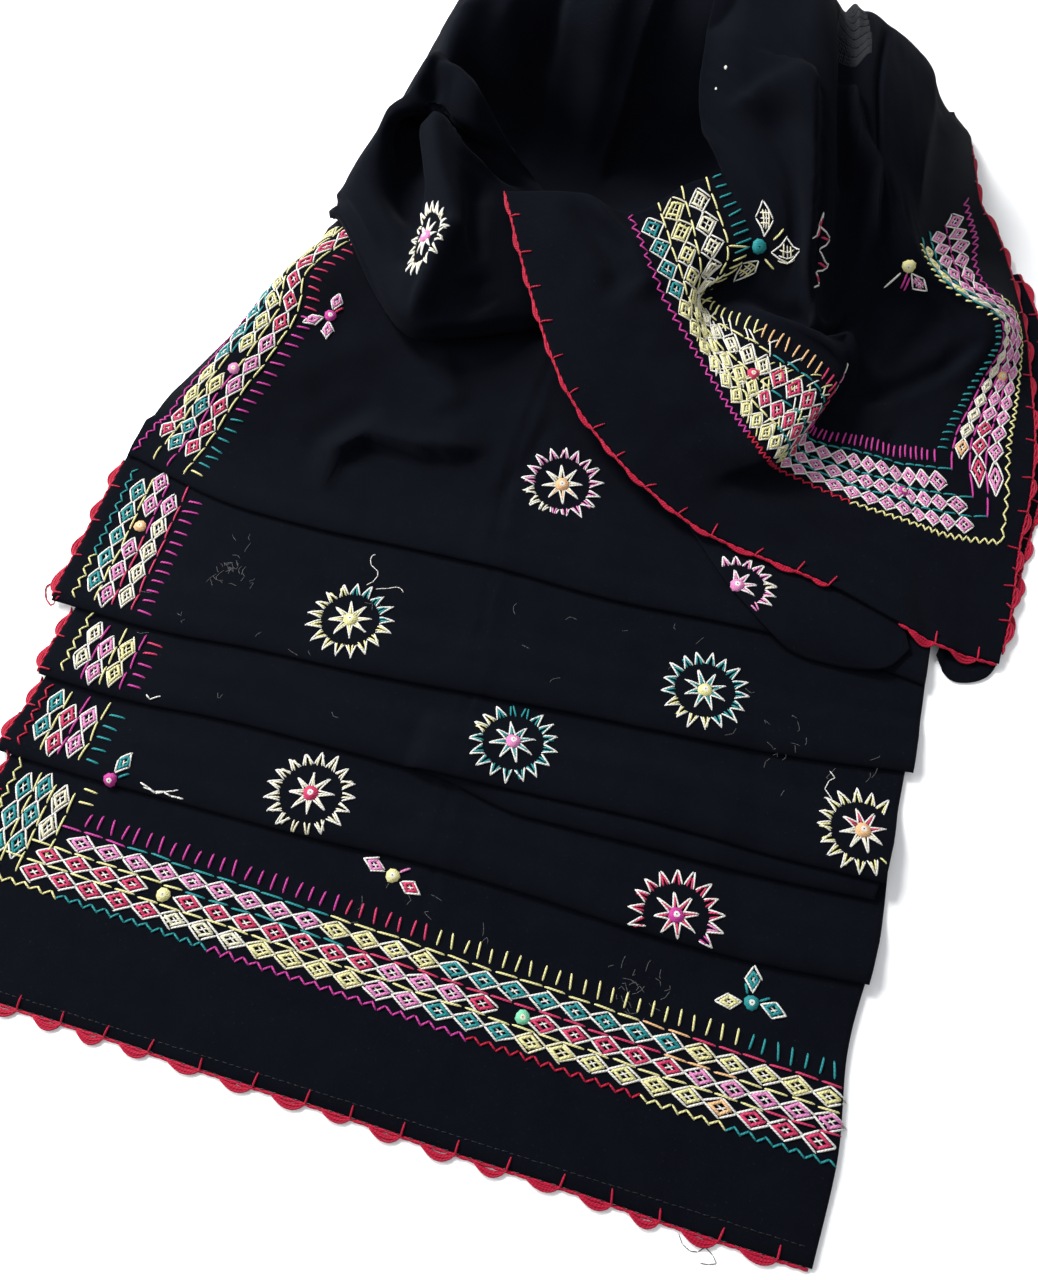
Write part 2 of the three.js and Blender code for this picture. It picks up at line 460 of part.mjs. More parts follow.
// The flap, from its hem up over the heap. Columns go from the lengthwise fold, which is the heap's open
// rim, to the selvedge; "from" is the distance from the hem along the cloth.
const FLAP_REACH = 9;
const FLAP_COLUMNS = 26;
const FLAP_LINES = {
  rim: 0, gather: 50, valley: 100, inner: 150, lobe: 210,
  tuck: 250, flat: 300, middle: 350, corner: 394, edge: 450,
};
const FLAP = [
  { from: 0, rim: [-60, 489, 52], gather: [-25, 428, 38], valley: [6, 384, 27], inner: [38, 357, 19],
    lobe: [68, 339, 14], tuck: [96, 327, 11], flat: [132, 320, 9], middle: [170, 313, 7],
    corner: [222, 297, 5], edge: [260, 295, 3] },
  { from: 30, rim: [-20, 492, 58], gather: [8, 439, 45], valley: [38, 403, 35], inner: [67, 376, 27],
    lobe: [95, 357, 19], tuck: [110, 353, 13], flat: [150, 346, 9], middle: [184, 340, 7],
    corner: [224, 327, 5], edge: [262, 330, 4] },
  { from: 62, rim: [16, 489, 56], gather: [42, 451, 48], valley: [71, 421, 36], inner: [97, 392, 32],
    lobe: [121, 371, 25], tuck: [131, 376, 9], flat: [167, 369, 7], middle: [201, 365, 6],
    corner: [226, 362, 5], edge: [262, 368, 4] },
  { from: 84, rim: [41, 516, 60], gather: [63, 471, 50], valley: [70, 442, 35], inner: [101, 418, 36],
    lobe: [135, 398, 30], tuck: [138, 393, 9], flat: [167, 389, 8], middle: [195, 387, 7],
    corner: [219, 387, 6], edge: [264, 397, 5] },
  { from: 104, rim: [57, 526, 62], gather: [84, 492, 50], valley: [72, 464, 32], inner: [105, 447, 38],
    lobe: [147, 429, 28], tuck: [143, 410, 9], flat: [166, 411, 8], middle: [190, 411, 7],
    corner: [212, 413, 7], edge: [264, 425, 5] },
  { from: 160, rim: [37, 547, 70], gather: [92, 511, 66], valley: [110, 475, 36], inner: [128, 450, 39],
    lobe: [149, 445, 28], tuck: [156, 443, 12], flat: [178, 446, 10], middle: [199, 448, 11],
    corner: [219, 454, 12], edge: [259, 468, 5] },
  { from: 230, rim: [29, 567, 84], gather: [72, 552, 86], valley: [112, 517, 72], inner: [130, 480, 35],
    lobe: [146, 480, 30], tuck: [162, 488, 25], flat: [183, 491, 24], middle: [205, 491, 27],
    corner: [226, 490, 30], edge: [248, 524, 5] },
  { from: 300, rim: [27, 588, 100], gather: [61, 578, 102], valley: [106, 547, 92], inner: [127, 527, 60],
    lobe: [144, 530, 66], tuck: [153, 522, 62], flat: [165, 513, 56], middle: [177, 511, 48],
    corner: [190, 518, 40], edge: [228, 576, 8] },
  { from: 345, rim: [27, 608, 105], gather: [59, 602, 107], valley: [100, 570, 100], inner: [121, 552, 76],
    lobe: [133, 558, 80], tuck: [144, 553, 75], flat: [156, 546, 67], middle: [167, 539, 58],
    corner: [178, 538, 46], edge: [212, 600, 12] },
  { from: 370, rim: [27, 626, 108], gather: [56, 624, 110], valley: [96, 596, 105], inner: [115, 576, 88],
    lobe: [124, 588, 91], tuck: [135, 583, 87], flat: [148, 574, 80], middle: [161, 566, 73],
    corner: [174, 562, 60], edge: [206, 620, 14] },
  { from: 405, rim: [27, 646, 107], gather: [53, 646, 108], valley: [90, 628, 103], inner: [109, 612, 91],
    lobe: [119, 620, 92], tuck: [131, 614, 89], flat: [145, 607, 83], middle: [160, 599, 75],
    corner: [175, 590, 62], edge: [202, 640, 12] },
  { from: 440, rim: [27, 668, 92], gather: [51, 668, 93], valley: [84, 656, 90], inner: [103, 646, 84],
    lobe: [116, 650, 84], tuck: [130, 646, 81], flat: [145, 640, 77], middle: [161, 631, 70],
    corner: [176, 618, 57], edge: [200, 655, 10] },
  { from: 485, rim: [28, 690, 52], gather: [50, 690, 53], valley: [80, 684, 52], inner: [98, 680, 50],
    lobe: [112, 680, 50], tuck: [127, 676, 49], flat: [142, 670, 47], middle: [158, 662, 43],
    corner: [174, 648, 36], edge: [195, 670, 6] },
  { from: 522, rim: [30, 705, 15], gather: [50, 706, 15], valley: [78, 702, 15], inner: [96, 699, 15],
    lobe: [110, 698, 14], tuck: [125, 694, 14], flat: [140, 688, 14], middle: [156, 681, 13],
    corner: [171, 672, 12], edge: [190, 680, 4] },
  { from: 534, rim: [32, 713, 3], gather: [50, 714, 3], valley: [78, 711, 3], inner: [96, 708, 3],
    lobe: [111, 707, 3], tuck: [126, 703, 3], flat: [141, 697, 3], middle: [157, 690, 3],
    corner: [172, 681, 3], edge: [188, 686, 3] },
];
const flap = layDown("flap", foldedSheet(FLAP, FLAP_LINES, { rows: 30, columns: FLAP_COLUMNS }), FLAP_REACH);

// ---- the hidden layers inside the heap, as one rounded mound ----
const MOUND = { x: 20, y: 555, farthest: 190, spokes: 30, rings: 8, edge: 5, clear: 0.7, reach: 33 };

function layMound() {
  const roofAt = (x, y) => {
    const found = roof.within(x, y, MOUND.reach, (a, b) => Math.min(a, b === Infinity ? 0 : b));
    return found === Infinity ? 0 : found;
  };
  const spokes = steps(0, 2 * Math.PI, MOUND.spokes).map((angle) => {
    const [cx, cy] = [Math.cos(angle), Math.sin(angle)];
    let radius = MOUND.farthest;
    while (radius > 40 && roofAt(MOUND.x + cx * radius, MOUND.y + cy * radius) < MOUND.edge) radius -= 2;
    return { cx, cy, radius };
  });
  const top = [];
  const bottom = [];
  for (const ring of steps(1, 0, MOUND.rings)) {
    const [high, low] = [[], []];
    for (const { cx, cy, radius } of spokes) {
      const [x, y] = [MOUND.x + cx * radius * ring, MOUND.y + cy * radius * ring];
      high.push(new THREE.Vector3(x, y, roofAt(x, y) - MOUND.clear));
      low.push(new THREE.Vector3(x, y, 0));
    }
    top.push(high);
    bottom.push(low);
  }
  const quads = [];
  for (let i = 0; i < MOUND.rings; i += 1)
    for (let j = 0; j < MOUND.spokes; j += 1) {
      quads.push([top[i][j], top[i][j + 1], top[i + 1][j + 1], top[i + 1][j]]);
      quads.push([bottom[i][j], bottom[i + 1][j], bottom[i + 1][j + 1], bottom[i][j + 1]]);
      if (i === 0) quads.push([bottom[0][j], bottom[0][j + 1], top[0][j + 1], top[0][j]]);
    }
  addSolid("heap_core", BLACK, quads);
}

layMound();

// ---- the edging of the other edges that show ----
layEdging("hem_edging", rowOf(pleats[0], 0, 0, ACROSS.length - 1));
for (const [k, name] of [[0, "hem"], [1, "one"], [3, "three"], [4, "four"]]) {
  const shown = columnOf(pleats[k], 0, 0, pleats[k].top.length - 1)
    .filter((p) => p.y > noseAt(PLEATS[k].nose, p.x) + 1 && p.y < noseAt(PLEATS[k].next, p.x) - 1);
  layEdging(`left_edging_${name}`, shown.reverse());
}
layEdging("flap_hem_edging", rowOf(flap, 0, 0, 20), FLAP_EDGING_DEPTH);
layEdging("flap_corner_edging", [...rowOf(flap, 0, 23, FLAP_COLUMNS), ...columnOf(flap, FLAP_COLUMNS, 1, 20)]);

shawl.position.set(-MIDDLE.x, -MIDDLE.y, 0);
export default shawl;
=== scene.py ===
"""An embroidered cotton shawl, doubled lengthwise and laid down with one end pleated and the middle heaped."""
import math

import bpy
import numpy as np
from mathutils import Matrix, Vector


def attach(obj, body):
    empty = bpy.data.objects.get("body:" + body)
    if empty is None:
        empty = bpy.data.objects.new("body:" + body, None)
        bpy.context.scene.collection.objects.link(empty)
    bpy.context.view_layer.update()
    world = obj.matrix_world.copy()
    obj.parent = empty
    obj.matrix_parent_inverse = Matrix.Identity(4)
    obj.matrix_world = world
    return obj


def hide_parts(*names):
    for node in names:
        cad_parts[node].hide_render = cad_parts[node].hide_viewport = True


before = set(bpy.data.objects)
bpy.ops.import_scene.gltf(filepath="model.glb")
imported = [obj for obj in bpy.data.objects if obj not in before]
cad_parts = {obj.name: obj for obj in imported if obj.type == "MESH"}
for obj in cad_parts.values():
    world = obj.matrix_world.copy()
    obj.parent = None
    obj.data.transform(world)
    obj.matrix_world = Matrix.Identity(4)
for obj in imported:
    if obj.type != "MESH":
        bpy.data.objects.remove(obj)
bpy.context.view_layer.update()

# ---- shader nodes ----
def new_material(name):
    material = bpy.data.materials.new(name)
    material.use_nodes = True
    return material, material.node_tree, material.node_tree.nodes["Principled BSDF"]


def fill(made, inputs):
    """Sets a node's inputs, each to a value or to the output socket that feeds it."""
    for name, value in inputs.items():
        if isinstance(value, bpy.types.NodeSocket):
            made.id_data.links.new(value, made.inputs[name])
        else:
            made.inputs[name].default_value = value
    return made


def add_node(tree, kind, output, inputs):
    """Adds a shader node, and gives one of its output sockets."""
    return fill(tree.nodes.new("ShaderNode" + kind), inputs).outputs[output]


def add_math(tree, operation, *values):
    made = tree.nodes.new("ShaderNodeMath")
    made.operation = operation
    return fill(made, dict(enumerate(values))).outputs["Value"]


def add_bands(tree, way, inputs):
    made = tree.nodes.new("ShaderNodeTexWave")
    made.wave_type = "BANDS"
    made.bands_direction = way
    return fill(made, inputs).outputs["Fac"]


def along_cloth(tree):
    """The place on the cloth, in metres along it."""
    made = tree.nodes.new("ShaderNodeUVMap")
    made.uv_map = "cloth"
    return made.outputs["UV"]


# ---- camera, light and floor ----
MIDDLE = np.array([24.1, 353.5, 0.0])  # of everything laid down; lengths below are millimetres before it is taken off
CAMERA_AT = (0.0668, -0.3571, 0.5499)
CAMERA_TO = (-0.0041, -0.1125, 0.0)
LENS = 32.8
SENSOR = 36.0
FLOOR_HALF = 6.0


def aim(name, data, place, target):
    """Puts a camera or a light at a place, turned towards its target."""
    thing = bpy.data.objects.new(name, data)
    thing.location = place
    way = Vector(target) - Vector(place)
    thing.rotation_euler = way.to_track_quat("-Z", "Y").to_euler()
    bpy.context.scene.collection.objects.link(thing)
    return thing


def add_camera():
    data = bpy.data.cameras.new("camera")
    data.sensor_fit = "VERTICAL"
    data.sensor_height = SENSOR
    data.lens = LENS
    data.clip_start = 0.01
    bpy.context.scene.camera = aim("camera", data, CAMERA_AT, CAMERA_TO)


def add_light(name, size, power, place):
    data = bpy.data.lights.new(name, "AREA")
    data.size = size
    data.energy = power
    aim(name, data, place, (0, 0, 0))


def add_floor():
    corners = [(x * FLOOR_HALF, y * FLOOR_HALF, 0) for x, y in ((-1, -1), (1, -1), (1, 1), (-1, 1))]
    mesh = bpy.data.meshes.new("floor")
    mesh.from_pydata(corners, [], [(0, 1, 2, 3)])
    floor = bpy.data.objects.new("floor", mesh)
    bpy.context.scene.collection.objects.link(floor)
    material, tree, shader = new_material("white_table")
    fill(shader, {"Base Color": (0.9, 0.9, 0.905, 1), "Roughness": 0.6})
    shader.inputs["Specular IOR Level"].default_value = 0.1
    mesh.materials.append(material)


def add_world(low, high):
    """A soft sky that is brightest overhead."""
    world = bpy.data.worlds.new("studio")
    world.use_nodes = True
    tree = world.node_tree
    way = add_node(tree, "TexCoord", "Generated", {})
    height = add_node(tree, "SeparateXYZ", "Z", {"Vector": way})
    strength = add_node(tree, "MapRange", "Result", {"To Min": low, "To Max": high, "Value": height})
    fill(tree.nodes["Background"], {"Color": (0.95, 0.97, 1.0, 1), "Strength": strength})
    bpy.context.scene.world = world


bpy.context.scene.view_settings.view_transform = "Standard"
add_camera()
add_floor()
add_world(0.12, 0.85)
add_light("window", 0.5, 46, (-1.1, 0.72, 1.1))
add_light("side", 0.5, 16, (-1.3, -0.25, 0.6))
add_light("fill", 1.6, 2.5, (1.3, -0.8, 1.4))

# ---- smooth lines and uneven waves ----
CELLS = 64  # after which the uneven waves begin again
FAR_OFF = 900  # keeps their places above zero


def along(knots, values, at):
    """A smooth line, or lines, through values at rising knots."""
    knots, values = np.asarray(knots, float), np.asarray(values, float)
    at = np.clip(np.asarray(at, float), knots[0], knots[-1])
    last = len(knots) - 1
    ahead = np.minimum(np.arange(last + 1) + 1, last)
    behind = np.maximum(np.arange(last + 1) - 1, 0)
    tail = (...,) + (None,) * (values.ndim - 1)
    slope = (values[ahead] - values[behind]) / (knots[ahead] - knots[behind])[tail]
    i = np.clip(np.searchsorted(knots, at) - 1, 0, last - 1)
    span = (knots[i + 1] - knots[i])[tail]
    t = (at - knots[i])[tail] / span
    bend = (slope[i] * (1 - t) ** 2 * t - slope[i + 1] * t**2 * (1 - t)) * span
    return values[i] + (values[i + 1] - values[i]) * t * t * (3 - 2 * t) + bend


def ease(t):
    """From 0 to 1, starting and ending softly."""
    k = np.clip(t, 0, 1)
    return k * k * (3 - 2 * k)


def swelling(t):
    """From 0 to 1 as the edge of something round does."""
    return np.sqrt(np.clip(1 - (1 - np.clip(t, 0, 1)) ** 2, 0, 1))


def unit(vectors):
    return vectors / np.maximum(np.linalg.norm(vectors, axis=-1, keepdims=True), 1e-9)


def spaced(start, end, step, round_off=(0.35, 1.1)):
    """Places from start to end a step apart, with more near both ends so that an edge can be rounded."""
    inner = np.linspace(start, end, max(int(round((end - start) / step)), 2) + 1)
    near = [start + r for r in round_off]
    return np.unique(np.round(np.concatenate([inner, near, [end - r for r in round_off]]), 3))


def ripples(x, y, size, seed):
    """Uneven soft waves from -1 to 1, about as long as size."""
    table = np.random.default_rng(seed).uniform(-1, 1, (CELLS, CELLS))
    fx, fy = np.asarray(x) / size + FAR_OFF, np.asarray(y) / size + FAR_OFF
    i, j = np.floor(fx).astype(int), np.floor(fy).astype(int)
    s, t = ease(fx - i), ease(fy - j)
    low, high = [table[i % CELLS, (j + up) % CELLS] * (1 - s) + table[(i + 1) % CELLS, (j + up) % CELLS] * s
                 for up in (0, 1)]
    return low * (1 - t) + high * t


def beside(x, y, path):
    """The distance to a broken line, above zero on its left, and how far along the line that is, from 0 to 1."""
    path = np.asarray(path, float)
    lengths = np.hypot(*np.diff(path, axis=0).T)
    starts = np.concatenate([[0], np.cumsum(lengths)])
    x, y = np.broadcast_arrays(x, y)
    best, place, side = np.full(x.shape, np.inf), np.zeros(x.shape), np.zeros(x.shape)
    for k, (a, b) in enumerate(zip(path[:-1], path[1:])):
        way = (b - a) / lengths[k]
        t = np.clip((x - a[0]) * way[0] + (y - a[1]) * way[1], 0, lengths[k])
        dx, dy = x - a[0] - t * way[0], y - a[1] - t * way[1]
        d = np.hypot(dx, dy)
        closer = d < best
        best = np.where(closer, d, best)
        place = np.where(closer, starts[k] + t, place)
        side = np.where(closer, way[0] * dy - way[1] * dx, side)
    return np.where(side > 0, best, -best), place / starts[-1]


def crease(x, y, path, height, width, skew=0.0):
    """A soft ridge, or a trough where height is below zero, along a broken line. It fades out at its ends."""
    side, place = beside(x, y, path)
    wide = width * np.where(side > 0, 1 + skew, 1 - skew)
    return height * np.exp(-((side / wide) ** 2)) * ease(4 * place) * ease(4 * (1 - place))


def shelf(x, y, path, height, edge, reach, fade=5):
    """The edge of a fold that lies over what is on the right of the line, and slopes away on its left."""
    side, place = beside(x, y, path)
    step = ease(side / edge + 0.5) * np.exp(-((np.maximum(side, 0) / reach) ** 2))
    return height * step * ease(fade * place) * ease(fade * (1 - place))


# ---- what has been laid down so far: its height on a square grid of 1 mm ----
LEFT, FRONT, WIDE, DEEP = -260, -20, 560, 780
FINER = 6  # how many times finer a sheet's points are made before they go on that grid


def refined(grid, times=FINER):
    for axis in (0, 1):
        count = grid.shape[axis]
        at = np.linspace(0, count - 1, (count - 1) * times + 1)
        i = np.minimum(at.astype(int), count - 2)
        t = (at - i).reshape([-1 if k == axis else 1 for k in range(3)])
        grid = np.take(grid, i, axis) * (1 - t) + np.take(grid, i + 1, axis) * t
    return grid


class Laid:
    def __init__(self):
        self.top = np.zeros((DEEP, WIDE))

    def add(self, grid):
        fine = refined(grid).reshape(-1, 3)
        i = np.rint(fine[:, 1] - FRONT).astype(int)
        j = np.rint(fine[:, 0] - LEFT).astype(int)
        inside = (i >= 0) & (i < DEEP) & (j >= 0) & (j < WIDE)
        np.maximum.at(self.top, (i[inside], j[inside]), fine[inside, 2])

    def spread(self, reach, soften=2):
        """The highest within reach of each place, then softened, so that cloth bridges what is narrow."""
        wide = self.top.copy()
        for dy in range(-reach, reach + 1):
            half = int(math.sqrt(reach * reach - dy * dy))
            for dx in range(-half, half + 1):
                wide = np.maximum(wide, np.roll(self.top, (dy, dx), (0, 1)))
        for _ in range(soften):
            for axis in (0, 1):
                wide = (np.roll(wide, 2, axis) + np.roll(wide, 1, axis) + wide
                        + np.roll(wide, -1, axis) + np.roll(wide, -2, axis)) / 5
        return wide


def look_up(field, x, y):
    """The height at x and y, from such a grid."""
    fx = np.clip(x - LEFT, 0, WIDE - 2)
    fy = np.clip(y - FRONT, 0, DEEP - 2)
    j, i = np.floor(fx).astype(int), np.floor(fy).astype(int)
    s, t = fx - j, fy - i
    low = field[i, j] * (1 - s) + field[i, j + 1] * s
    high = field[i + 1, j] * (1 - s) + field[i + 1, j + 1] * s
    return low * (1 - t) + high * t


laid = Laid()


# ---- cloth: grids of points whose rows run away from the hem and whose columns run to the right ----
WALL = 1.8  # the doubled cotton with the air in it
FLAT = 2.2  # the height of cloth that lies flat
THIN_END = 0.3  # what is left of a sheet's thickness at its very edge
GAP = 0.35  # from a pleat to the stretch under it
DRAPE_GAP = 0.6  # from the heap's cloth to what is under it
LAP = 18  # how far a pleat runs on under the next one
LAPPED = LAP + 3  # how far from its nose a pleat still rests on the one below
FALL_END = 38  # how far from its nose it has come down flat
STEEPEST = 0.42  # a wall steeper than this is not made any taller
FINE = 3.0  # from one row or column of a sheet to the next
PANEL_WIDE = 430
BARE = 0.3  # where it is lower than this, only the table is there
MEET = 0.8  # how softly a sheet comes to rest on what is under it


def normals(grid):
    normal = np.cross(np.gradient(grid, axis=1), np.gradient(grid, axis=0))
    return normal / (np.linalg.norm(normal, axis=-1, keepdims=True) + 1e-9)


def wall_height(grid):
    """The wall's height as it is measured straight up, which is more where the cloth is steep."""
    return WALL / np.maximum(np.abs(normals(grid)[..., 2]), STEEPEST)


def rounding(u, v, radius=1.1):
    """How much of its thickness a sheet has near its four edges."""
    across = np.minimum(u - u[0], u[-1] - u)
    away = np.minimum(v - v[0], v[-1] - v)
    return THIN_END + (1 - THIN_END) * swelling(np.minimum(across[None, :], away[:, None]) / radius)


class Cloth:
    """A stretch of cloth by its upper face. u runs across it and v away from the hem, both along the cloth."""

    def __init__(self, top, u, v):
        self.top, self.u, self.v = top, u, v

    def points(self, u, v):
        i = np.clip(np.searchsorted(self.v, v) - 1, 0, len(self.v) - 2)
        j = np.clip(np.searchsorted(self.u, u) - 1, 0, len(self.u) - 2)
        t = np.clip((v - self.v[i]) / (self.v[i + 1] - self.v[i]), 0, 1)[..., None]
        s = np.clip((u - self.u[j]) / (self.u[j + 1] - self.u[j]), 0, 1)[..., None]
        low = self.top[i, j] * (1 - s) + self.top[i, j + 1] * s
        high = self.top[i + 1, j] * (1 - s) + self.top[i + 1, j + 1] * s
        return low * (1 - t) + high * t


class Sheet(Cloth):
    """Cloth with its under side too, laid on what is there already."""

    def __init__(self, top, bottom, u, v):
        super().__init__(top, u, v)
        self.bottom = bottom
        laid.add(top)


class FromAbove:
    """Everything laid down so far as one surface, with u and v as plain x and y."""

    def __init__(self):
        self.field = laid.spread(0, 1)

    def points(self, u, v):
        return np.stack([u, v, look_up(self.field, u, v)], -1)


def lay_down(grid, u, v, reach):
    """The sheet keeps its own form, but never sinks into what is already there."""
    drop = wall_height(grid)
    beneath = look_up(laid.spread(reach), grid[..., 0], grid[..., 1])
    rest = np.where(beneath > BARE, beneath + DRAPE_GAP, 0)
    own = grid[..., 2] - drop
    meet = np.where(rest > 0, MEET, 0.0)
    low = 0.5 * (own + rest + np.sqrt((own - rest) ** 2 + meet**2))
    pinch = (1 - rounding(u, v)) * drop / 2
    top, bottom = grid.copy(), grid.copy()
    top[..., 2] = low + drop - pinch
    bottom[..., 2] = low + pinch
    return Sheet(top, bottom, u, v)


# ---- the pleated end: where each pleat's nose lies, as its distance from the hem at each station ----
STATIONS = [-215, -160, -105, -50, 5, 60, 115, 170, 225]
NOSES = {
    "hem": [2, 1, 1, 0, 0, -1, -1, -2, -2],
    "first": [110, 109, 110, 111, 114, 114, 112, 113, 118],
    "second": [153, 152, 156, 157, 149, 150, 151.5, 153, 157],
    "third": [153, 152, 156, 157, 158, 161, 163.5, 163, 165],
    "fourth": [193, 192, 196.5, 199, 203.5, 208, 211.5, 216, 224],
    "fifth": [287, 274.5, 272.5, 275, 276, 275, 278, 278.5, 272],
}
PLEATS = [  # node, nose, next nose, left and right edge at even steps from the nose to the far end
    ("hem_panel", "hem", "first", [-210, -209, -205, -203], [217, 220, 217, 222]),
    ("pleat_one", "first", "second", [-211, -207, -206], [221, 223, 222]),
    ("pleat_two", "second", "third", [-8, -6, -4], [217, 219, 219]),
    ("pleat_three", "third", "fourth", [-209, -209, -208], [220, 222, 223]),
    ("pleat_four", "fourth", "fifth", [-221, -222, -221], [226, 226, 225]),
]
NOSE_ROWS = [0, 0.3, 0.8, 1.5, 2.5, 4, 6, 9, 12, 15, 18, LAPPED]
PRESSED = [(-2, 478), (-10, 400), (-13, 333), (2, 228), (22, 55), (26, 8)]  # the ironed line down the middle
SMALL_CREASE = [(4, 147), (14, 141), (30, 143), (47, 142)]


def nose_at(line, x):
    if line == "second":  # it comes out from under the third in the middle
        return nose_at("third", x) + (along(STATIONS, NOSES[line], x) - nose_at("third", x)) * ease((x + 8) / 60)
    return along(STATIONS, NOSES[line], x)


def plain_waves(x, y):
    """The slight unevenness of cotton that has been folded and worn, and its two pressed creases."""
    waves = 0.55 * ripples(x, y, 46, 3) + 0.3 * ripples(x + 0.4 * y, y, 21, 5) + 0.1 * ripples(x, y, 8, 8)
    waves = waves + crease(x, y, SMALL_CREASE, -1.3, 1.8, 0.3)
    return waves + crease(x, y, PRESSED, 0.9, 8) - crease(x, y, PRESSED, 1.2, 1.9)


INSIDE = (-205, 214)  # where all the pleats have cloth under them
NOSE_REACH = 2.5  # how far from its fold a nose is round
SIDE_REACH = 0.0026  # the same at a panel's sides, as a share of its width
ROLL_HIGH, ROLL_AT = 1.3, 7  # of the little roll that stands up behind a nose


def across_panel():
    """Columns from the left edge to the lengthwise fold, as shares of the width."""
    return spaced(0, 1, FINE / PANEL_WIDE, (0.0008, 0.0025))


def resting(x, nose):
    """The height that a nose rests at: just over the highest of the stretch under it."""
    field, inside = laid.spread(3), np.clip(x, *INSIDE)
    return np.max([look_up(field, inside, nose + past) for past in (4, 10, LAP - 3)], axis=0) + GAP


def nose_roll(past):
    return ROLL_HIGH * np.exp(-(((past - ROLL_AT) / ROLL_AT) ** 2))[:, None]


def nose_swell(past):
    return swelling(past / NOSE_REACH)[:, None] * 0.9 + 0.1


def side_swell(f):
    return THIN_END + (1 - THIN_END) * swelling(np.minimum(f, 1 - f)[None, :] / SIDE_REACH)


def lay_pleat(name, nose, beyond, left, right):
    middle = (left[0] + right[0]) / 2
    length = float(nose_at(beyond, middle)) + LAP - float(nose_at(nose, middle))
    past = np.array([p for p in NOSE_ROWS if p < length - 1] + list(spaced(LAPPED, length, FINE)[1:]))
    f = across_panel()
    ends = np.linspace(0, 1, len(left))
    x = along(ends, left, past / length)[:, None] * (1 - f) + along(ends, right, past / length)[:, None] * f
    start = nose_at(nose, x)
    end = nose_at(beyond, x) + LAP
    beyond_lap = np.clip((past - LAPPED) / (length - LAPPED), 0, 1)[:, None]
    y = start + np.minimum(past, LAPPED)[:, None] + (end - start - LAPPED) * beyond_lap
    on_table = name == "hem_panel"
    if on_table:
        high, low = np.full_like(x, FLAT), np.zeros_like(x)
        waves = plain_waves(x, y) + 0.6
    else:
        raised = resting(x, start)
        down = ease((past - LAPPED) / (FALL_END - LAPPED))[:, None]
        roll = nose_roll(past) * (1 + 0.5 * ripples(x, y * 0, 60, 11))
        high = (raised + WALL) * (1 - down) + FLAT * down + roll
        low = np.where(past[:, None] <= LAPPED, raised, 0)
        waves = (plain_waves(x, y) + 0.5) * (0.35 + 0.65 * down)
    high = high + waves * ease(past / 5)[:, None]
    pinch = (1 - np.minimum(nose_swell(past), side_swell(f))) * np.minimum(high - low, 4) / 2
    top = np.stack([x, y, high - pinch], -1)
    bottom = np.stack([x, y, low + (0 if on_table else pinch)], -1)
    return Sheet(top, bottom, f * PANEL_WIDE, past)


sheets = {row[0]: lay_pleat(*row) for row in PLEATS}

# ---- the upper panel, from the fifth nose up into the heap ----
PANEL_PLACES = [0, 0.055, 0.2, 0.42, 0.7, 1]  # edge, roll, flank, middle, far side, end
PANEL = [  # distance from the hem, left edge, right edge, then the height at each place
    (305, -220, 224, 2.6, 5, 3.6, 3, 3, 2.4),
    (330, -216, 212, 2.6, 14, 9, 4, 3, 2.4),
    (355, -207, 200, 2.6, 21, 13, 9, 4, 2.4),
    (385, -197, 185, 2.6, 27, 20, 12, 6, 2.6),
    (415, -187, 165, 2.6, 31, 25, 16, 9, 4),
    (450, -171, 150, 9, 30, 26, 18, 12, 6),
    (485, -164, 130, 14, 26, 22, 18, 12, 6),
]
PANEL_NOSE = (-220, 225)
PANEL_FOLD = ([(-110, 298), (-106, 318), (-93, 330), (-66, 331), (-40, 337), (-24, 346)], 8.0, 4, 13, 4)
PANEL_RIDGES = [  # a line in x and y, its height, its width, how lopsided
    ([(-122, 308), (-120, 326), (-108, 344), (-92, 356)], -2.5, 8),
    ([(-72, 398), (-60, 376), (-50, 360)], 3.0, 9, -0.3),
    ([(-10, 300), (-14, 320), (-4, 350), (2, 380)], -1.6, 4),
    ([(-150, 345), (-128, 372), (-104, 392)], 2.5, 13),
]
PANEL_END = 468  # where the heap has covered it


def lay_panel():
    f = across_panel()
    table = np.array(PANEL, float)
    x0 = PANEL_NOSE[0] + (PANEL_NOSE[1] - PANEL_NOSE[0]) * f
    nose = nose_at("fifth", x0)
    raised = resting(x0, nose)
    near = np.array(NOSE_ROWS + [LAP + 7])
    far = np.arange(318, PANEL_END + 1, FINE)
    lines = np.array([along(PANEL_PLACES, row[3:], f) for row in table])
    left, right = [along(table[:, 0], table[:, k], far)[:, None] for k in (1, 2)]
    x = np.vstack([np.tile(x0, (len(near), 1)), left * (1 - f) + right * f])
    y = np.vstack([nose + near[:, None], np.tile(far[:, None], (1, len(f)))])
    z = np.vstack([(raised + WALL)[None, :] + nose_roll(near), along(table[:, 0], lines, far)])
    z = z + plain_waves(x, y) * 1.2 * ease((y - nose) / 30)
    for row in PANEL_RIDGES:
        z = z + crease(x, y, *row)
    z = z + shelf(x, y, *PANEL_FOLD)
    low = np.maximum(z - wall_height(np.stack([x, y, z], -1)), 0)
    low[:len(near) - 1] = np.tile(raised, (len(near) - 1, 1))
    thin = np.ones_like(z)
    thin[:len(near)] = nose_swell(near)
    pinch = (1 - np.minimum(thin, side_swell(f))) * np.minimum(z - low, 3) / 2
    top, bottom = np.stack([x, y, z - pinch], -1), np.stack([x, y, low + pinch], -1)
    arc = np.concatenate([[0], np.cumsum(np.linalg.norm(np.diff(top, axis=0), axis=-1).mean(1))])
    return Sheet(top, bottom, f, arc)


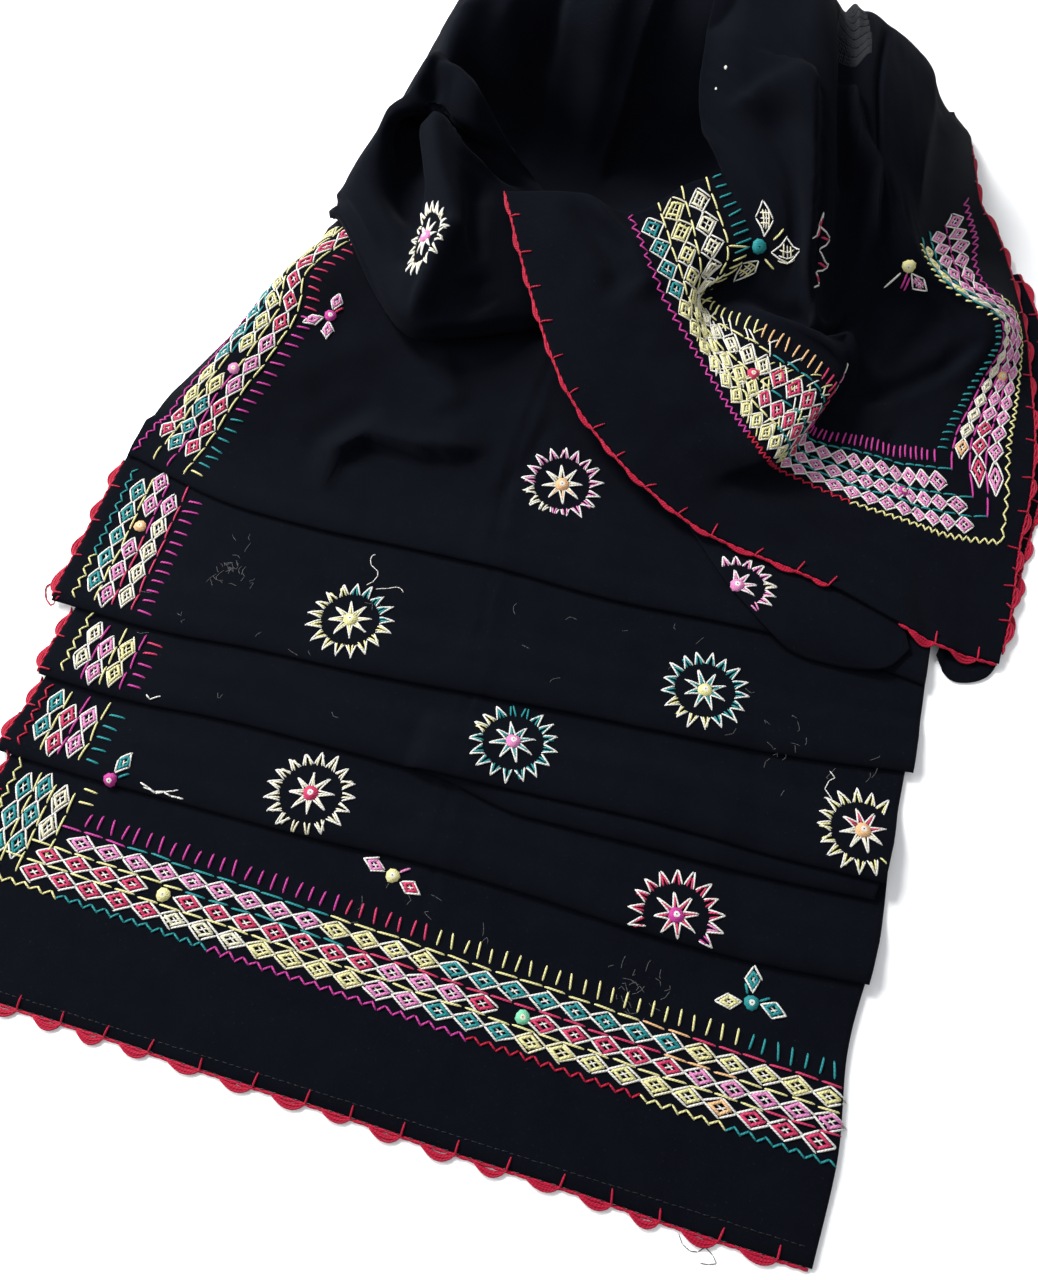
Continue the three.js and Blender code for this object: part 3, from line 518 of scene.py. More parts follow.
flat_end = FromAbove()
sheets["upper_panel"] = lay_panel()
end_and_panel = FromAbove()

# ---- the heap's sheets: distance along the cloth, then a point of the face on each fold line ----
COWL_LINES = [0, 80, 125, 170, 200, 230, 270, 320]  # edge, shoulder, left, seam, middle, crease, right, end
HOOD_LINES = [0, 55, 90, 125, 160, 200]  # edge, shoulder, hollow, ridge, inner, under
FLAP_LINES = [0, 50, 100, 150, 210, 250, 300, 350, 394, 450]  # rim, gather, valley, inner, lobe, tuck, ... edge
COWL = [
    (-45, (-138, 540, 4), (-120, 536, 26), (-98, 512, 26), (-62, 490, 30), (-28, 480, 44),
     (5, 478, 48), (48, 500, 50), (86, 530, 54)),
    (-10, (-140, 548, 4), (-118, 545, 36), (-98, 524, 28), (-61, 503, 26), (-28, 497, 24),
     (6, 497, 25), (50, 516, 32), (88, 544, 46)),
    (15, (-142, 558, 4), (-118, 554, 46), (-98, 543, 32), (-58, 525, 16), (-28, 519, 13), (5, 520, 14),
     (46, 538, 21), (88, 560, 44)),
    (45, (-144, 568, 4), (-120, 563, 56), (-98, 566, 42), (-56, 550, 15), (-28, 545, 11), (3, 548, 12),
     (42, 566, 20), (87, 580, 46)),
    (72, (-148, 580, 4), (-121, 573, 68), (-94, 579, 62), (-54, 570, 26), (-27, 566, 20),
     (-4, 568, 22), (38, 586, 34), (84, 600, 60)),
    (105, (-156, 597, 4), (-119, 585, 80), (-90, 591, 80), (-54, 584, 50), (-27, 582, 52),
     (-6, 588, 56), (33, 598, 62), (80, 612, 82)),
    (145, (-160, 616, 4), (-115, 598, 88), (-85, 604, 92), (-55, 600, 86), (-28, 603, 92),
     (-6, 608, 90), (30, 612, 92), (76, 622, 96)),
    (183, (-159, 640, 4), (-110, 624, 91), (-80, 632, 102), (-52, 636, 104), (-25, 640, 108),
     (0, 640, 106), (32, 642, 107), (74, 646, 104)),
    (217, (-156, 664, 4), (-108, 652, 72), (-76, 661, 88), (-50, 665, 92), (-24, 668, 92),
     (2, 668, 92), (34, 670, 91), (72, 672, 90)),
    (265, (-148, 686, 4), (-104, 680, 34), (-74, 687, 48), (-48, 689, 46), (-22, 691, 50),
     (4, 691, 47), (36, 691, 50), (70, 691, 48)),
    (305, (-136, 700, 3), (-100, 699, 11), (-72, 703, 13), (-46, 704, 12), (-20, 705, 14),
     (6, 705, 12), (38, 705, 14), (70, 704, 12)),
    (317, (-126, 707, 2.4), (-96, 709, 2.4), (-70, 711, 2.4), (-44, 712, 2.4), (-18, 713, 2.4),
     (8, 713, 2.4), (38, 713, 2.4), (68, 711, 2.4)),
]
HOOD = [
    (0, (-163, 464, 16), (-148, 452, 27), (-118, 416, 29), (-88, 392, 30), (-58, 402, 28),
     (-22, 424, 20)),
    (12, (-166, 470, 14), (-150, 462, 37), (-116, 424, 38), (-87, 398, 41), (-56, 410, 36),
     (-22, 432, 24)),
    (42, (-168, 486, 8), (-150, 477, 44), (-110, 446, 46), (-83, 430, 55), (-54, 436, 40),
     (-24, 448, 28)),
    (72, (-168, 505, 5), (-146, 492, 52), (-112, 481, 50), (-82, 458, 61), (-58, 466, 42),
     (-28, 475, 30)),
    (100, (-167, 530, 5), (-137, 516, 63), (-124, 514, 57), (-98, 488, 69), (-68, 492, 46),
     (-34, 500, 28)),
    (125, (-166, 550, 5), (-131, 530, 69), (-121, 526, 60), (-108, 515, 72), (-76, 508, 48),
     (-40, 515, 26)),
    (145, (-163, 562, 5), (-128, 540, 74), (-118, 534, 63), (-106, 529, 60), (-84, 521, 50),
     (-50, 527, 24)),
    (165, (-160, 574, 6), (-126, 548, 78), (-116, 544, 80), (-104, 541, 80), (-88, 533, 73),
     (-64, 530, 36)),
    (195, (-158, 586, 6), (-126, 562, 72), (-112, 558, 70), (-98, 554, 64), (-84, 547, 45),
     (-70, 544, 24)),
]
FLAP = [
    (0, (-60, 489, 52), (-25, 428, 38), (6, 384, 27), (38, 357, 19), (68, 339, 14), (96, 327, 11),
     (132, 320, 9), (170, 313, 7), (222, 297, 5), (260, 295, 3)),
    (30, (-20, 492, 58), (8, 439, 45), (38, 403, 35), (67, 376, 27), (95, 357, 19), (110, 353, 13),
     (150, 346, 9), (184, 340, 7), (224, 327, 5), (262, 330, 4)),
    (62, (16, 489, 56), (42, 451, 48), (71, 421, 36), (97, 392, 32), (121, 371, 25), (131, 376, 9),
     (167, 369, 7), (201, 365, 6), (226, 362, 5), (262, 368, 4)),
    (84, (41, 516, 60), (63, 471, 50), (70, 442, 35), (101, 418, 36), (135, 398, 30), (138, 393, 9),
     (167, 389, 8), (195, 387, 7), (219, 387, 6), (264, 397, 5)),
    (104, (57, 526, 62), (84, 492, 50), (72, 464, 32), (105, 447, 38), (147, 429, 28), (143, 410, 9),
     (166, 411, 8), (190, 411, 7), (212, 413, 7), (264, 425, 5)),
    (160, (37, 547, 70), (92, 511, 66), (110, 475, 36), (128, 450, 39), (149, 445, 28), (156, 443, 12),
     (178, 446, 10), (199, 448, 11), (219, 454, 12), (259, 468, 5)),
    (230, (29, 567, 84), (72, 552, 86), (112, 517, 72), (130, 480, 35), (146, 480, 30), (162, 488, 25),
     (183, 491, 24), (205, 491, 27), (226, 490, 30), (248, 524, 5)),
    (300, (27, 588, 100), (61, 578, 102), (106, 547, 92), (127, 527, 60), (144, 530, 66),
     (153, 522, 62), (165, 513, 56), (177, 511, 48), (190, 518, 40), (228, 576, 8)),
    (345, (27, 608, 105), (59, 602, 107), (100, 570, 100), (121, 552, 76), (133, 558, 80),
     (144, 553, 75), (156, 546, 67), (167, 539, 58), (178, 538, 46), (212, 600, 12)),
    (370, (27, 626, 108), (56, 624, 110), (96, 596, 105), (115, 576, 88), (124, 588, 91),
     (135, 583, 87), (148, 574, 80), (161, 566, 73), (174, 562, 60), (206, 620, 14)),
    (405, (27, 646, 107), (53, 646, 108), (90, 628, 103), (109, 612, 91), (119, 620, 92),
     (131, 614, 89), (145, 607, 83), (160, 599, 75), (175, 590, 62), (202, 640, 12)),
    (440, (27, 668, 92), (51, 668, 93), (84, 656, 90), (103, 646, 84), (116, 650, 84), (130, 646, 81),
     (145, 640, 77), (161, 631, 70), (176, 618, 57), (200, 655, 10)),
    (485, (28, 690, 52), (50, 690, 53), (80, 684, 52), (98, 680, 50), (112, 680, 50), (127, 676, 49),
     (142, 670, 47), (158, 662, 43), (174, 648, 36), (195, 670, 6)),
    (522, (30, 705, 15), (50, 706, 15), (78, 702, 15), (96, 699, 15), (110, 698, 14), (125, 694, 14),
     (140, 688, 14), (156, 681, 13), (171, 672, 12), (190, 680, 4)),
    (534, (32, 713, 3), (50, 714, 3), (78, 711, 3), (96, 708, 3), (111, 707, 3), (126, 703, 3),
     (141, 697, 3), (157, 690, 3), (172, 681, 3), (188, 686, 3)),
]
UNDER_FRONT = [
    ((28, 372), (50, 402)),
    ((63, 351), (84, 386)),
    ((90, 329), (114, 366)),
    ((119, 298), (138, 346)),
    ((151, 274), (160, 336)),
    ((177, 270), (178, 330)),
    ((203, 274), (196, 328)),
    ((214, 288), (203, 326)),
]
UNDER_SIDE = [
    ((228, 290), (236, 318)),
    ((240, 280), (240, 320)),
    ((257, 289), (241, 324)),
    ((262, 315), (240, 332)),
    ((266, 361), (240, 366)),
    ((271, 405), (242, 405)),
    ((272, 440), (242, 440)),
    ((269, 485), (240, 480)),
    ((258, 527), (230, 515)),
    ((243, 560), (214, 545)),
]

def folded(table, lines, u, v):
    """A sheet's points from a table: one section in each row, one fold line in each column."""
    rows = [row[0] for row in table]
    points = np.array([row[1:] for row in table], float)
    across = along(lines, points.transpose(1, 0, 2), u)
    return along(rows, across.transpose(1, 0, 2), v)


def strip(table, step=0.12):
    """A strip that lies flat: along it the pairs of visible edge and hidden side, across it u from 0 to 1."""
    points = np.array([[(*edge, 0), (*hidden, 0)] for edge, hidden in table], float)
    v = spaced(0, 1, 1 / 12, (0.02, 0.05))
    u = spaced(0, len(table) - 1, step, (0.01, 0.03))
    line = along(np.arange(len(table)), points, u)
    return line[None, :, 0] * (1 - v)[:, None, None] + line[None, :, 1] * v[:, None, None], u, v


def relief(grid, u, v, waves, seed, ridges, edges):
    """Moves a sheet's points along its normals by its uneven waves, soft creases and fold edges."""
    u, v = np.broadcast_arrays(u[None, :], v[:, None])
    amount = waves * ripples(u, v, 42, seed) + 0.4 * waves * ripples(u + v, v, 19, seed + 1)
    for row in ridges:
        amount = amount + crease(u, v, *row)
    for row in edges:
        amount = amount + shelf(u, v, *row)
    return grid + normals(grid) * amount[..., None]


COWL_RIDGES = [  # a line in u and v, its height, its width, how lopsided
    ([(122, 60), (125, 110), (120, 190), (112, 280)], 5.0, 13, -0.2),
    ([(158, 20), (156, 70), (160, 120), (166, 220)], -7.0, 9, 0.3),
    ([(192, 40), (198, 100), (204, 180), (208, 260)], 5.0, 15, 0.3),
    ([(268, 30), (272, 110), (276, 200), (280, 280)], 4.5, 14),
    ([(90, 250), (60, 200), (42, 150), (30, 90)], -3.0, 9),
    ([(110, 40), (150, 12), (210, 8), (260, 20)], 3.0, 12),
]
COWL_EDGES = [([(208, 40), (222, 90), (232, 140), (238, 220)], 6.0, 5, 20)]
HOOD_RIDGES = [
    ([(83, 108), (81, 92), (79, 78), (82, 62), (90, 46)], -13.0, 10),
    ([(72, 92), (82, 110), (95, 124), (112, 134), (132, 136), (152, 132), (170, 129), (190, 128)], -15.0, 7),
    ([(102, 134), (136, 124), (142, 115), (152, 116), (170, 115)], 3.5, 4),
    ([(157, 108), (148, 88), (145, 68), (152, 46)], -7.0, 6, -0.3),
    ([(129, 76), (125, 58), (125, 45), (125, 25), (125, 6)], 5.5, 7, 0.5),
    ([(92, 60), (98, 42), (104, 24)], -4.5, 9),
    ([(12, 4), (46, 8), (84, 8), (108, 6), (122, 3)], 2.0, 2.6),
    ([(122, 5), (142, 7), (162, 6), (182, 8)], 1.8, 3.0),
    ([(150, 40), (158, 24), (168, 14)], -3.5, 8),
]
HOOD_EDGES = [
    ([(97, 46), (95, 70), (96, 88), (98, 101), (96, 116)], -8.0, 4, 15),
    ([(22, 30), (60, 22), (86, 20)], 2.4, 3, 14),
    ([(58, 78), (67, 98), (79, 116), (97, 130), (116, 139), (136, 146), (156, 149), (170, 150), (182, 151)],
     8.0, 4, 13, 6),
]
FLAP_RIDGES = [
    ([(18, 204), (42, 234), (69, 288), (92, 330)], 5.0, 9, -0.4),
    ([(34, 190), (58, 222), (76, 252), (84, 280)], -2.5, 10),
    ([(222, 318), (231, 360), (240, 400), (248, 440)], -4.0, 8, 0.3),
    ([(120, 420), (134, 380), (140, 340), (150, 290)], -6.0, 12),
    ([(48, 93), (54, 84), (72, 82), (108, 105)], -6.0, 8),
    ([(96, 126), (120, 159), (150, 178), (207, 214), (235, 226)], -10.0, 9, -0.2),
    ([(129, 152), (170, 184), (204, 194), (224, 174), (246, 150), (261, 112)], 5.0, 9, 0.3),
    ([(340, 240), (306, 201), (285, 165)], -3.0, 15),
    ([(262, 140), (310, 160), (354, 183), (385, 222)], -5.0, 12),
    ([(-6, 30), (9, 42), (24, 54), (48, 54), (60, 40)], 5.0, 5, 0.3),
    ([(4, 22), (20, 36), (40, 44), (60, 30)], -4.0, 6),
    ([(20, 10), (44, 24), (80, 36), (120, 40)], -1.8, 10),
    ([(60, 520), (84, 440), (88, 380), (80, 330)], 4.0, 14, 0.3),
    ([(330, 120), (352, 90), (372, 60)], -2.0, 9),
    ([(372, 470), (392, 420), (402, 380), (408, 340)], -5.0, 22),
    ([(150, 530), (165, 480), (172, 440), (176, 400)], 6.0, 14),
]
FLAP_EDGES = [
    ([(132, 177), (111, 204), (101, 222), (96, 243), (93, 270), (92, 302), (88, 325), (72, 334)], 13.0, 5, 24),
    ([(236, 262), (219, 297), (222, 322), (204, 339), (183, 360), (150, 374), (120, 368)], 8.0, 5, 22),
]


def lay_heap():
    u, v = spaced(0, 320, FINE), spaced(-45, 317, FINE)
    grid = relief(folded(COWL, COWL_LINES, u, v), u, v, 1.2, 21, COWL_RIDGES, COWL_EDGES)
    sheets["cowl"] = lay_down(grid, u, v, 5)
    u, v = spaced(10, 200, 2.5), spaced(0, 195, 2.5)
    grid = relief(folded(HOOD, HOOD_LINES, u, v), u, v, 0.7, 31, HOOD_RIDGES, HOOD_EDGES)
    sheets["hood"] = lay_down(grid, u, v, 6)
    sheets["flap_under_front"] = lay_down(*strip(UNDER_FRONT), 5)
    sheets["flap_under_side"] = lay_down(*strip(UNDER_SIDE), 4)
    u, v = spaced(0, 450, 2.6), spaced(0, 534, 2.6)
    grid = folded(FLAP, FLAP_LINES, u, v)
    rim = -10 * ease(1 - u / 36)[None, :] * (ease((v - 120) / 60) * ease((500 - v) / 80))[:, None]
    grid = relief(grid, u, v, 0.9, 41, FLAP_RIDGES, FLAP_EDGES) + normals(grid) * rim[..., None]
    sheets["flap"] = lay_down(grid, u, v, 7)


lay_heap()

# ---- meshes ----
def place(points):
    return (np.asarray(points, float) - MIDDLE) / 1000


def add_mesh(name, verts, faces, uvs, materials, slots=None):
    """faces is an array of quads; uvs has one pair for each corner of each face."""
    mesh = bpy.data.meshes.new(name)
    mesh.vertices.add(len(verts))
    mesh.vertices.foreach_set("co", np.asarray(verts, np.float32).ravel())
    mesh.loops.add(faces.size)
    mesh.loops.foreach_set("vertex_index", faces.astype(np.int32).ravel())
    mesh.polygons.add(len(faces))
    mesh.polygons.foreach_set("loop_start", np.arange(0, faces.size, faces.shape[1], dtype=np.int32))
    layer = mesh.uv_layers.new(name="cloth")
    layer.data.foreach_set("uv", np.asarray(uvs, np.float32).ravel())
    for material in materials:
        mesh.materials.append(material)
    if slots is not None:
        mesh.polygons.foreach_set("material_index", slots.astype(np.int32))
    mesh.polygons.foreach_set("use_smooth", np.full(len(faces), True))
    mesh.update(calc_edges=True)
    mesh.validate()
    piece = bpy.data.objects.new(name, mesh)
    bpy.context.scene.collection.objects.link(piece)
    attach(piece, "root")
    return piece


def arcs(points, axis=0):
    """How far along the line through them each of the points is."""
    steps = np.linalg.norm(np.diff(points, axis=axis), axis=-1)
    start = np.zeros_like(np.take(steps, [0], axis))
    return np.concatenate([start, np.cumsum(steps, axis)], axis)


def add_sheet(sheet, name, material):
    rows, columns = sheet.top.shape[:2]
    index = np.arange(rows * columns).reshape(rows, columns)
    under = index + rows * columns
    faces = np.concatenate([np.stack([corner.ravel() for corner in four], 1) for four in (
        (index[:-1, :-1], index[:-1, 1:], index[1:, 1:], index[1:, :-1]),
        (under[:-1, :-1], under[1:, :-1], under[1:, 1:], under[:-1, 1:]),
        (under[0, :-1], under[0, 1:], index[0, 1:], index[0, :-1]),
        (index[-1, :-1], index[-1, 1:], under[-1, 1:], under[-1, :-1]),
        (index[:-1, 0], index[1:, 0], under[1:, 0], under[:-1, 0]),
        (under[:-1, -1], under[1:, -1], index[1:, -1], index[:-1, -1]),
    )])
    u = np.tile(arcs(sheet.top, 1).mean(0), (rows, 1))
    v = np.tile(arcs(sheet.top, 0).mean(1)[:, None], (1, columns))
    flat = np.stack([u, v], -1).reshape(-1, 2) / 1000
    flat = np.concatenate([flat, flat])
    verts = np.concatenate([place(sheet.top).reshape(-1, 3), place(sheet.bottom).reshape(-1, 3)])
    return add_mesh(name, verts, faces, flat[faces.ravel()], [material])


# ---- materials ----
def cotton(name="black_cotton", flat=True):
    """Blue-black plain weave: threads of half a millimetre, slubs, and a little lint."""
    material, tree, shader = new_material(name)
    at = along_cloth(tree) if flat else add_node(tree, "TexCoord", "Object", {})
    yarn = {"Scale": 620, "Distortion": 1.4, "Detail": 1, "Detail Scale": 0.6, "Vector": at}
    weave = add_math(tree, "MAXIMUM", add_bands(tree, "X", yarn), add_bands(tree, "Y", yarn))
    slub = add_node(tree, "TexNoise", "Fac", {"Scale": 60, "Detail": 5, "Roughness": 0.65, "Vector": at})
    lint = add_node(tree, "TexNoise", "Fac", {"Scale": 900, "Detail": 2, "Vector": at})
    tint = add_node(tree, "MixRGB", "Color", {"Color1": (0.0013, 0.0017, 0.0037, 1),
                                              "Color2": (0.0038, 0.0045, 0.0075, 1), "Fac": slub})
    threads = tree.nodes.new("ShaderNodeMixRGB")
    threads.blend_type = "MULTIPLY"
    threads = fill(threads, {"Fac": 0.35, "Color1": tint, "Color2": weave}).outputs["Color"]
    flecks = add_node(tree, "MapRange", "Result", {"From Min": 0.66, "From Max": 0.78, "To Max": 0.25, "Value": lint})
    dusted = add_node(tree, "MixRGB", "Color", {"Fac": flecks, "Color1": threads, "Color2": (0.035, 0.038, 0.046, 1)})
    rough = add_node(tree, "MapRange", "Result", {"To Min": 0.82, "To Max": 0.98, "Value": slub})
    height = add_math(tree, "MULTIPLY_ADD", slub, 1.6, weave)
    bump = add_node(tree, "Bump", "Normal", {"Strength": 0.35, "Distance": 0.00025, "Height": height})
    fill(shader, {"Base Color": dusted, "Roughness": rough, "Normal": bump})
    shader.inputs["Specular IOR Level"].default_value = 0.026
    shader.inputs["Sheen Weight"].default_value = 0.012
    shader.inputs["Sheen Roughness"].default_value = 0.45
    shader.inputs["Sheen Tint"].default_value = (0.75, 0.85, 1.0, 1)
    return material


def thread(name, colour, shade):
    """Stranded cotton, with the twist of its strands along the stitch."""
    material, tree, shader = new_material(name)
    at = along_cloth(tree)
    twist = add_bands(tree, "DIAGONAL", {"Scale": 420, "Distortion": 0.8, "Vector": at})
    patch = add_node(tree, "TexNoise", "Fac", {"Scale": 140, "Detail": 3, "Vector": at})
    strand_shade_mask = add_math(tree, "MULTIPLY", twist, patch)
    # the twist's grooves take the darker colour: painted shade between the strands
    tint = add_node(tree, "MixRGB", "Color", {"Color1": (*colour, 1), "Color2": (*shade, 1), "Fac": strand_shade_mask})
    bump = add_node(tree, "Bump", "Normal", {"Strength": 0.5, "Distance": 0.0002, "Height": twist})
    fill(shader, {"Base Color": tint, "Normal": bump, "Roughness": 0.55})
    shader.inputs["Specular IOR Level"].default_value = 0.16
    shader.inputs["Sheen Weight"].default_value = 0.04
    return material


BLACK = cotton()
THREADS = {  # lit colour, and the darker colour between strands, which is painted shade
    "white": ((0.63, 0.62, 0.58), (0.38, 0.37, 0.33)),
    "cream": ((0.62, 0.59, 0.44), (0.36, 0.33, 0.21)),
    "yellow": ((0.60, 0.57, 0.27), (0.34, 0.31, 0.11)),
    "peach": ((0.66, 0.40, 0.20), (0.38, 0.19, 0.08)),
    "pink": ((0.58, 0.20, 0.40), (0.32, 0.08, 0.20)),
    "magenta": ((0.42, 0.035, 0.24), (0.21, 0.012, 0.11)),
    "red": ((0.48, 0.03, 0.10), (0.24, 0.014, 0.045)),
    "teal": ((0.012, 0.21, 0.22), (0.006, 0.10, 0.11)),
    "mint": ((0.17, 0.52, 0.33), (0.07, 0.27, 0.15)),
    "crimson": ((0.37, 0.004, 0.03), (0.18, 0.002, 0.012)),
    "chalk": ((0.075, 0.078, 0.08), (0.04, 0.042, 0.045)),
    # the open weave's yarns: lighter than the cloth, as painted light on the lit crest
    "weave": ((0.04, 0.043, 0.048), (0.02, 0.022, 0.026)),
    "black": ((0.006, 0.007, 0.011), (0.003, 0.0035, 0.006)),
}
COLOURS = list(THREADS)
THREAD_MATERIALS = [thread(f"{name}_thread", *tones) for name, tones in THREADS.items()]

for node, sheet in sheets.items():
    piece = add_sheet(sheet, f"{node}_cloth", BLACK)
    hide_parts(node)
core = bpy.data.objects["heap_core"]  # the cloth gathered inside the heap: its own solid is shown
core.material_slots[0].material = cotton("gathered_cotton", flat=False)


# ---- embroidery: stitches of stranded cotton, placed in the cloth's own u and v ----
SECTION = 5  # corners of a thread's section
TURN = np.arange(SECTION) * 2 * math.pi / SECTION
RINGS = np.array([0.0, 0.14, 0.5, 0.86, 1.0])  # where a stitch has its sections
RISE = np.array([-0.15, 0.35, 0.5, 0.35, -0.15])  # of a stitch's middle line over the cloth, as a share of its width
SLIM = np.array([0.6, 1.0, 1.0, 1.0, 0.6])
STEP = 1.5
DOME_RINGS, DOME_SPOKES = 7, 18
chance = np.random.default_rng(17)


def by_arc(sheet, reach):
    """The strip along a sheet's left edge, with u as the distance in from that edge along the cloth."""
    u = np.arange(0, reach + STEP, STEP)
    rows = [np.stack([np.interp(u, arc, row[:, k]) for k in range(3)], -1)
            for arc, row in zip(arcs(sheet.top, 1), sheet.top)]
    return Cloth(np.array(rows), u, sheet.v)


def quads_of(index):
    """The faces between rings of corners, each ring closed."""
    on = np.roll(index, -1, axis=-1)
    return np.stack([index[..., :-1, :], on[..., :-1, :], on[..., 1:, :], index[..., 1:, :]], -1).reshape(-1, 4)


def tube(line, side, up, radius):
    """Sections round a line: their corners, and the faces."""
    ring = side[..., None, :] * np.cos(TURN)[:, None] + up[..., None, :] * np.sin(TURN)[:, None]
    verts = line[..., None, :] + ring * radius[..., None, None]
    index = np.arange(verts.size // 3).reshape(verts.shape[:-1])
    return verts.reshape(-1, 3), quads_of(index)


class Work:
    """Collects stitches on one stretch of cloth, and then makes them all one piece."""

    def __init__(self, cloth):
        self.cloth, self.rows, self.colours, self.knots = cloth, [], [], []

    def stitch(self, a, b, colour, wide=0.8, loose=0.28):
        shift = chance.normal(0, loose, 4)
        self.rows.append((a[0] + shift[0], a[1] + shift[1], b[0] + shift[2], b[1] + shift[3], wide))
        self.colours.append(COLOURS.index(colour))

    def knot(self, at, colour, radius=3.0, top_colour="white"):
        self.knots.append((at[0], at[1], radius, COLOURS.index(colour), COLOURS.index(top_colour)))

    def frame(self, u, v):
        """The point of the cloth's face at u and v, and its normal there."""
        across = self.cloth.points(u + STEP, v) - self.cloth.points(u - STEP, v)
        away = self.cloth.points(u, v + STEP) - self.cloth.points(u, v - STEP)
        return self.cloth.points(u, v), unit(np.cross(across, away))

    def tubes(self):
        rows = np.array(self.rows)
        a, b, wide = rows[:, None, 0:2], rows[:, None, 2:4], rows[:, 4][:, None]
        uv = a + (b - a) * RINGS[None, :, None]
        line, normal = self.frame(uv[..., 0], uv[..., 1])
        line = line + normal * (RISE * wide)[..., None]
        way = unit(np.gradient(line, axis=1))
        side = unit(np.cross(normal, way))
        verts, faces = tube(line, side, np.cross(way, side) * 0.8, SLIM * wide / 2)
        length = np.linalg.norm(line[:, -1] - line[:, 0], axis=-1)
        offset = chance.uniform(0, 90, len(rows))
        along_it = offset[:, None, None] + RINGS[None, :, None] * length[:, None, None]
        round_it = TURN[None, None, :] * wide[..., None] / 2
        uvs = np.stack(np.broadcast_arrays(along_it, round_it), -1).reshape(-1, 2) / 1000
        return verts, faces, uvs[faces.ravel()], np.repeat(np.array(self.colours), (len(RINGS) - 1) * SECTION)

    def domes(self):
        """Woven knots: a low dome with ridges where the thread goes round, and its top drawn in a second colour."""
        quads = quads_of(np.arange(DOME_RINGS * DOME_SPOKES).reshape(DOME_RINGS, DOME_SPOKES))
        in_top = np.repeat(np.arange(DOME_RINGS - 1), DOME_SPOKES) >= DOME_RINGS - 2
        t = np.linspace(0, 1, DOME_RINGS)[:, None]
        turn = np.arange(DOME_SPOKES)[None, :] * 2 * math.pi / DOME_SPOKES + t * 2.2
        parts = []
        for k, (u, v, radius, colour, top_colour) in enumerate(self.knots):
            centre, normal = self.frame(np.array(u), np.array(v))
            side = np.cross(normal, [0.3, 1, 0.1])
            side /= np.linalg.norm(side)
            uneven = 1 + 0.05 * np.sin(3 * turn + u) + 0.05 * np.cos(turn * 9)
            r = radius * np.cos(t * math.pi / 2 * 0.97) ** 0.8 * uneven
            h = radius * 0.62 * np.sin(t * math.pi / 2) - 0.5 + 0.12 * np.cos(t * 20) + 0 * turn
            out, over = (r * np.cos(turn))[..., None] * side, (r * np.sin(turn))[..., None] * np.cross(normal, side)
            uv = np.stack([turn * 3 + u, t * 5 + 0 * turn], -1).reshape(-1, 2) / 1000
            parts.append(((centre + out + over + h[..., None] * normal).reshape(-1, 3), quads + k * turn.size,
                          uv[quads.ravel()], np.where(in_top, top_colour, colour)))
        return [np.concatenate(part) for part in zip(*parts)]

    def make(self, name):
        verts, faces, uvs, slots = self.tubes()
        if self.knots:
            more = self.domes()
            faces = np.concatenate([faces, more[1] + len(verts)])
            verts, uvs, slots = [np.concatenate(pair) for pair in ((verts, more[0]), (uvs, more[2]), (slots, more[3]))]
        used = np.unique(slots)
        materials = [THREAD_MATERIALS[k] for k in used]
        piece = add_mesh(name, place(verts), faces, uvs, materials, np.searchsorted(used, slots))


def runs_of(*colours):
    """The colours of a border's rows, from its inner side outward."""
    return dict(zip(("ticks", "dash_a", "row_one", "dash_b", "row_two", "dash_c", "row_three", "zigzag"), colours))


def pick(runs, s):
    """The colour at s, from one colour, or from runs of (where the run ends, its colour) and the last run's colour."""
    return runs if isinstance(runs, str) else next((colour for end, colour in runs[:-1] if s < end), runs[-1])


def everywhere(s, d):
    return True


# Across the border from its inner side: where each row of stitches lies.
TICK = (-1.4, 6.2)
DASHES = {"dash_a": 9.2, "dash_b": 20.4, "dash_c": 29.9}
DIAMONDS = {"row_one": 14.9, "row_two": 25.2, "row_three": 34.8}
ZIGZAG = 42.0
TICK_PITCH, DASH_PITCH, DIAMOND_PITCH, ZIGZAG_PITCH = 6.4, 11.6, 14.5, 7.0
DIAMOND_LONG, DIAMOND_HIGH = 7.7, 4.5
OUTLINE_WIDE, PANE_WIDE, BAR_WIDE = 1.05, 1.5, 0.75
TICK_WIDE, DASH_WIDE, ZIGZAG_WIDE = 1.15, 1.1, 1.0
PEAK = 1.4  # how far the zigzag goes to either side
KNOT_CLEAR = 5.5  # no diamond is nearer to a knot than this
ROW_STARTS = (19, 17, 23)  # of the first diamond past the diagonal of a corner
WHEEL_POINTS, STAR_POINTS = 17, 8
RIM_IN, RIM_OUT, STAR_IN, STAR_OUT = 15.4, 22.5, 3.4, 11.4  # a wheel's radii
MARK_IN, MARK_OUT = 15.2, 20.4  # the coloured stitches in its points
PANE_SHARE, BAR_SHARE = 0.42, 0.48  # how far a diamond's coloured stitches and bars reach, as shares of its size
LEAF_AT, LEAF_LONG, LEAF_HIGH = 11.5, 6.6, 3.8  # a sprig's leaf: how far out it is, and half its size
SPRIG_TICK = (4.2, 10)  # from where to where a short stitch of a sprig goes


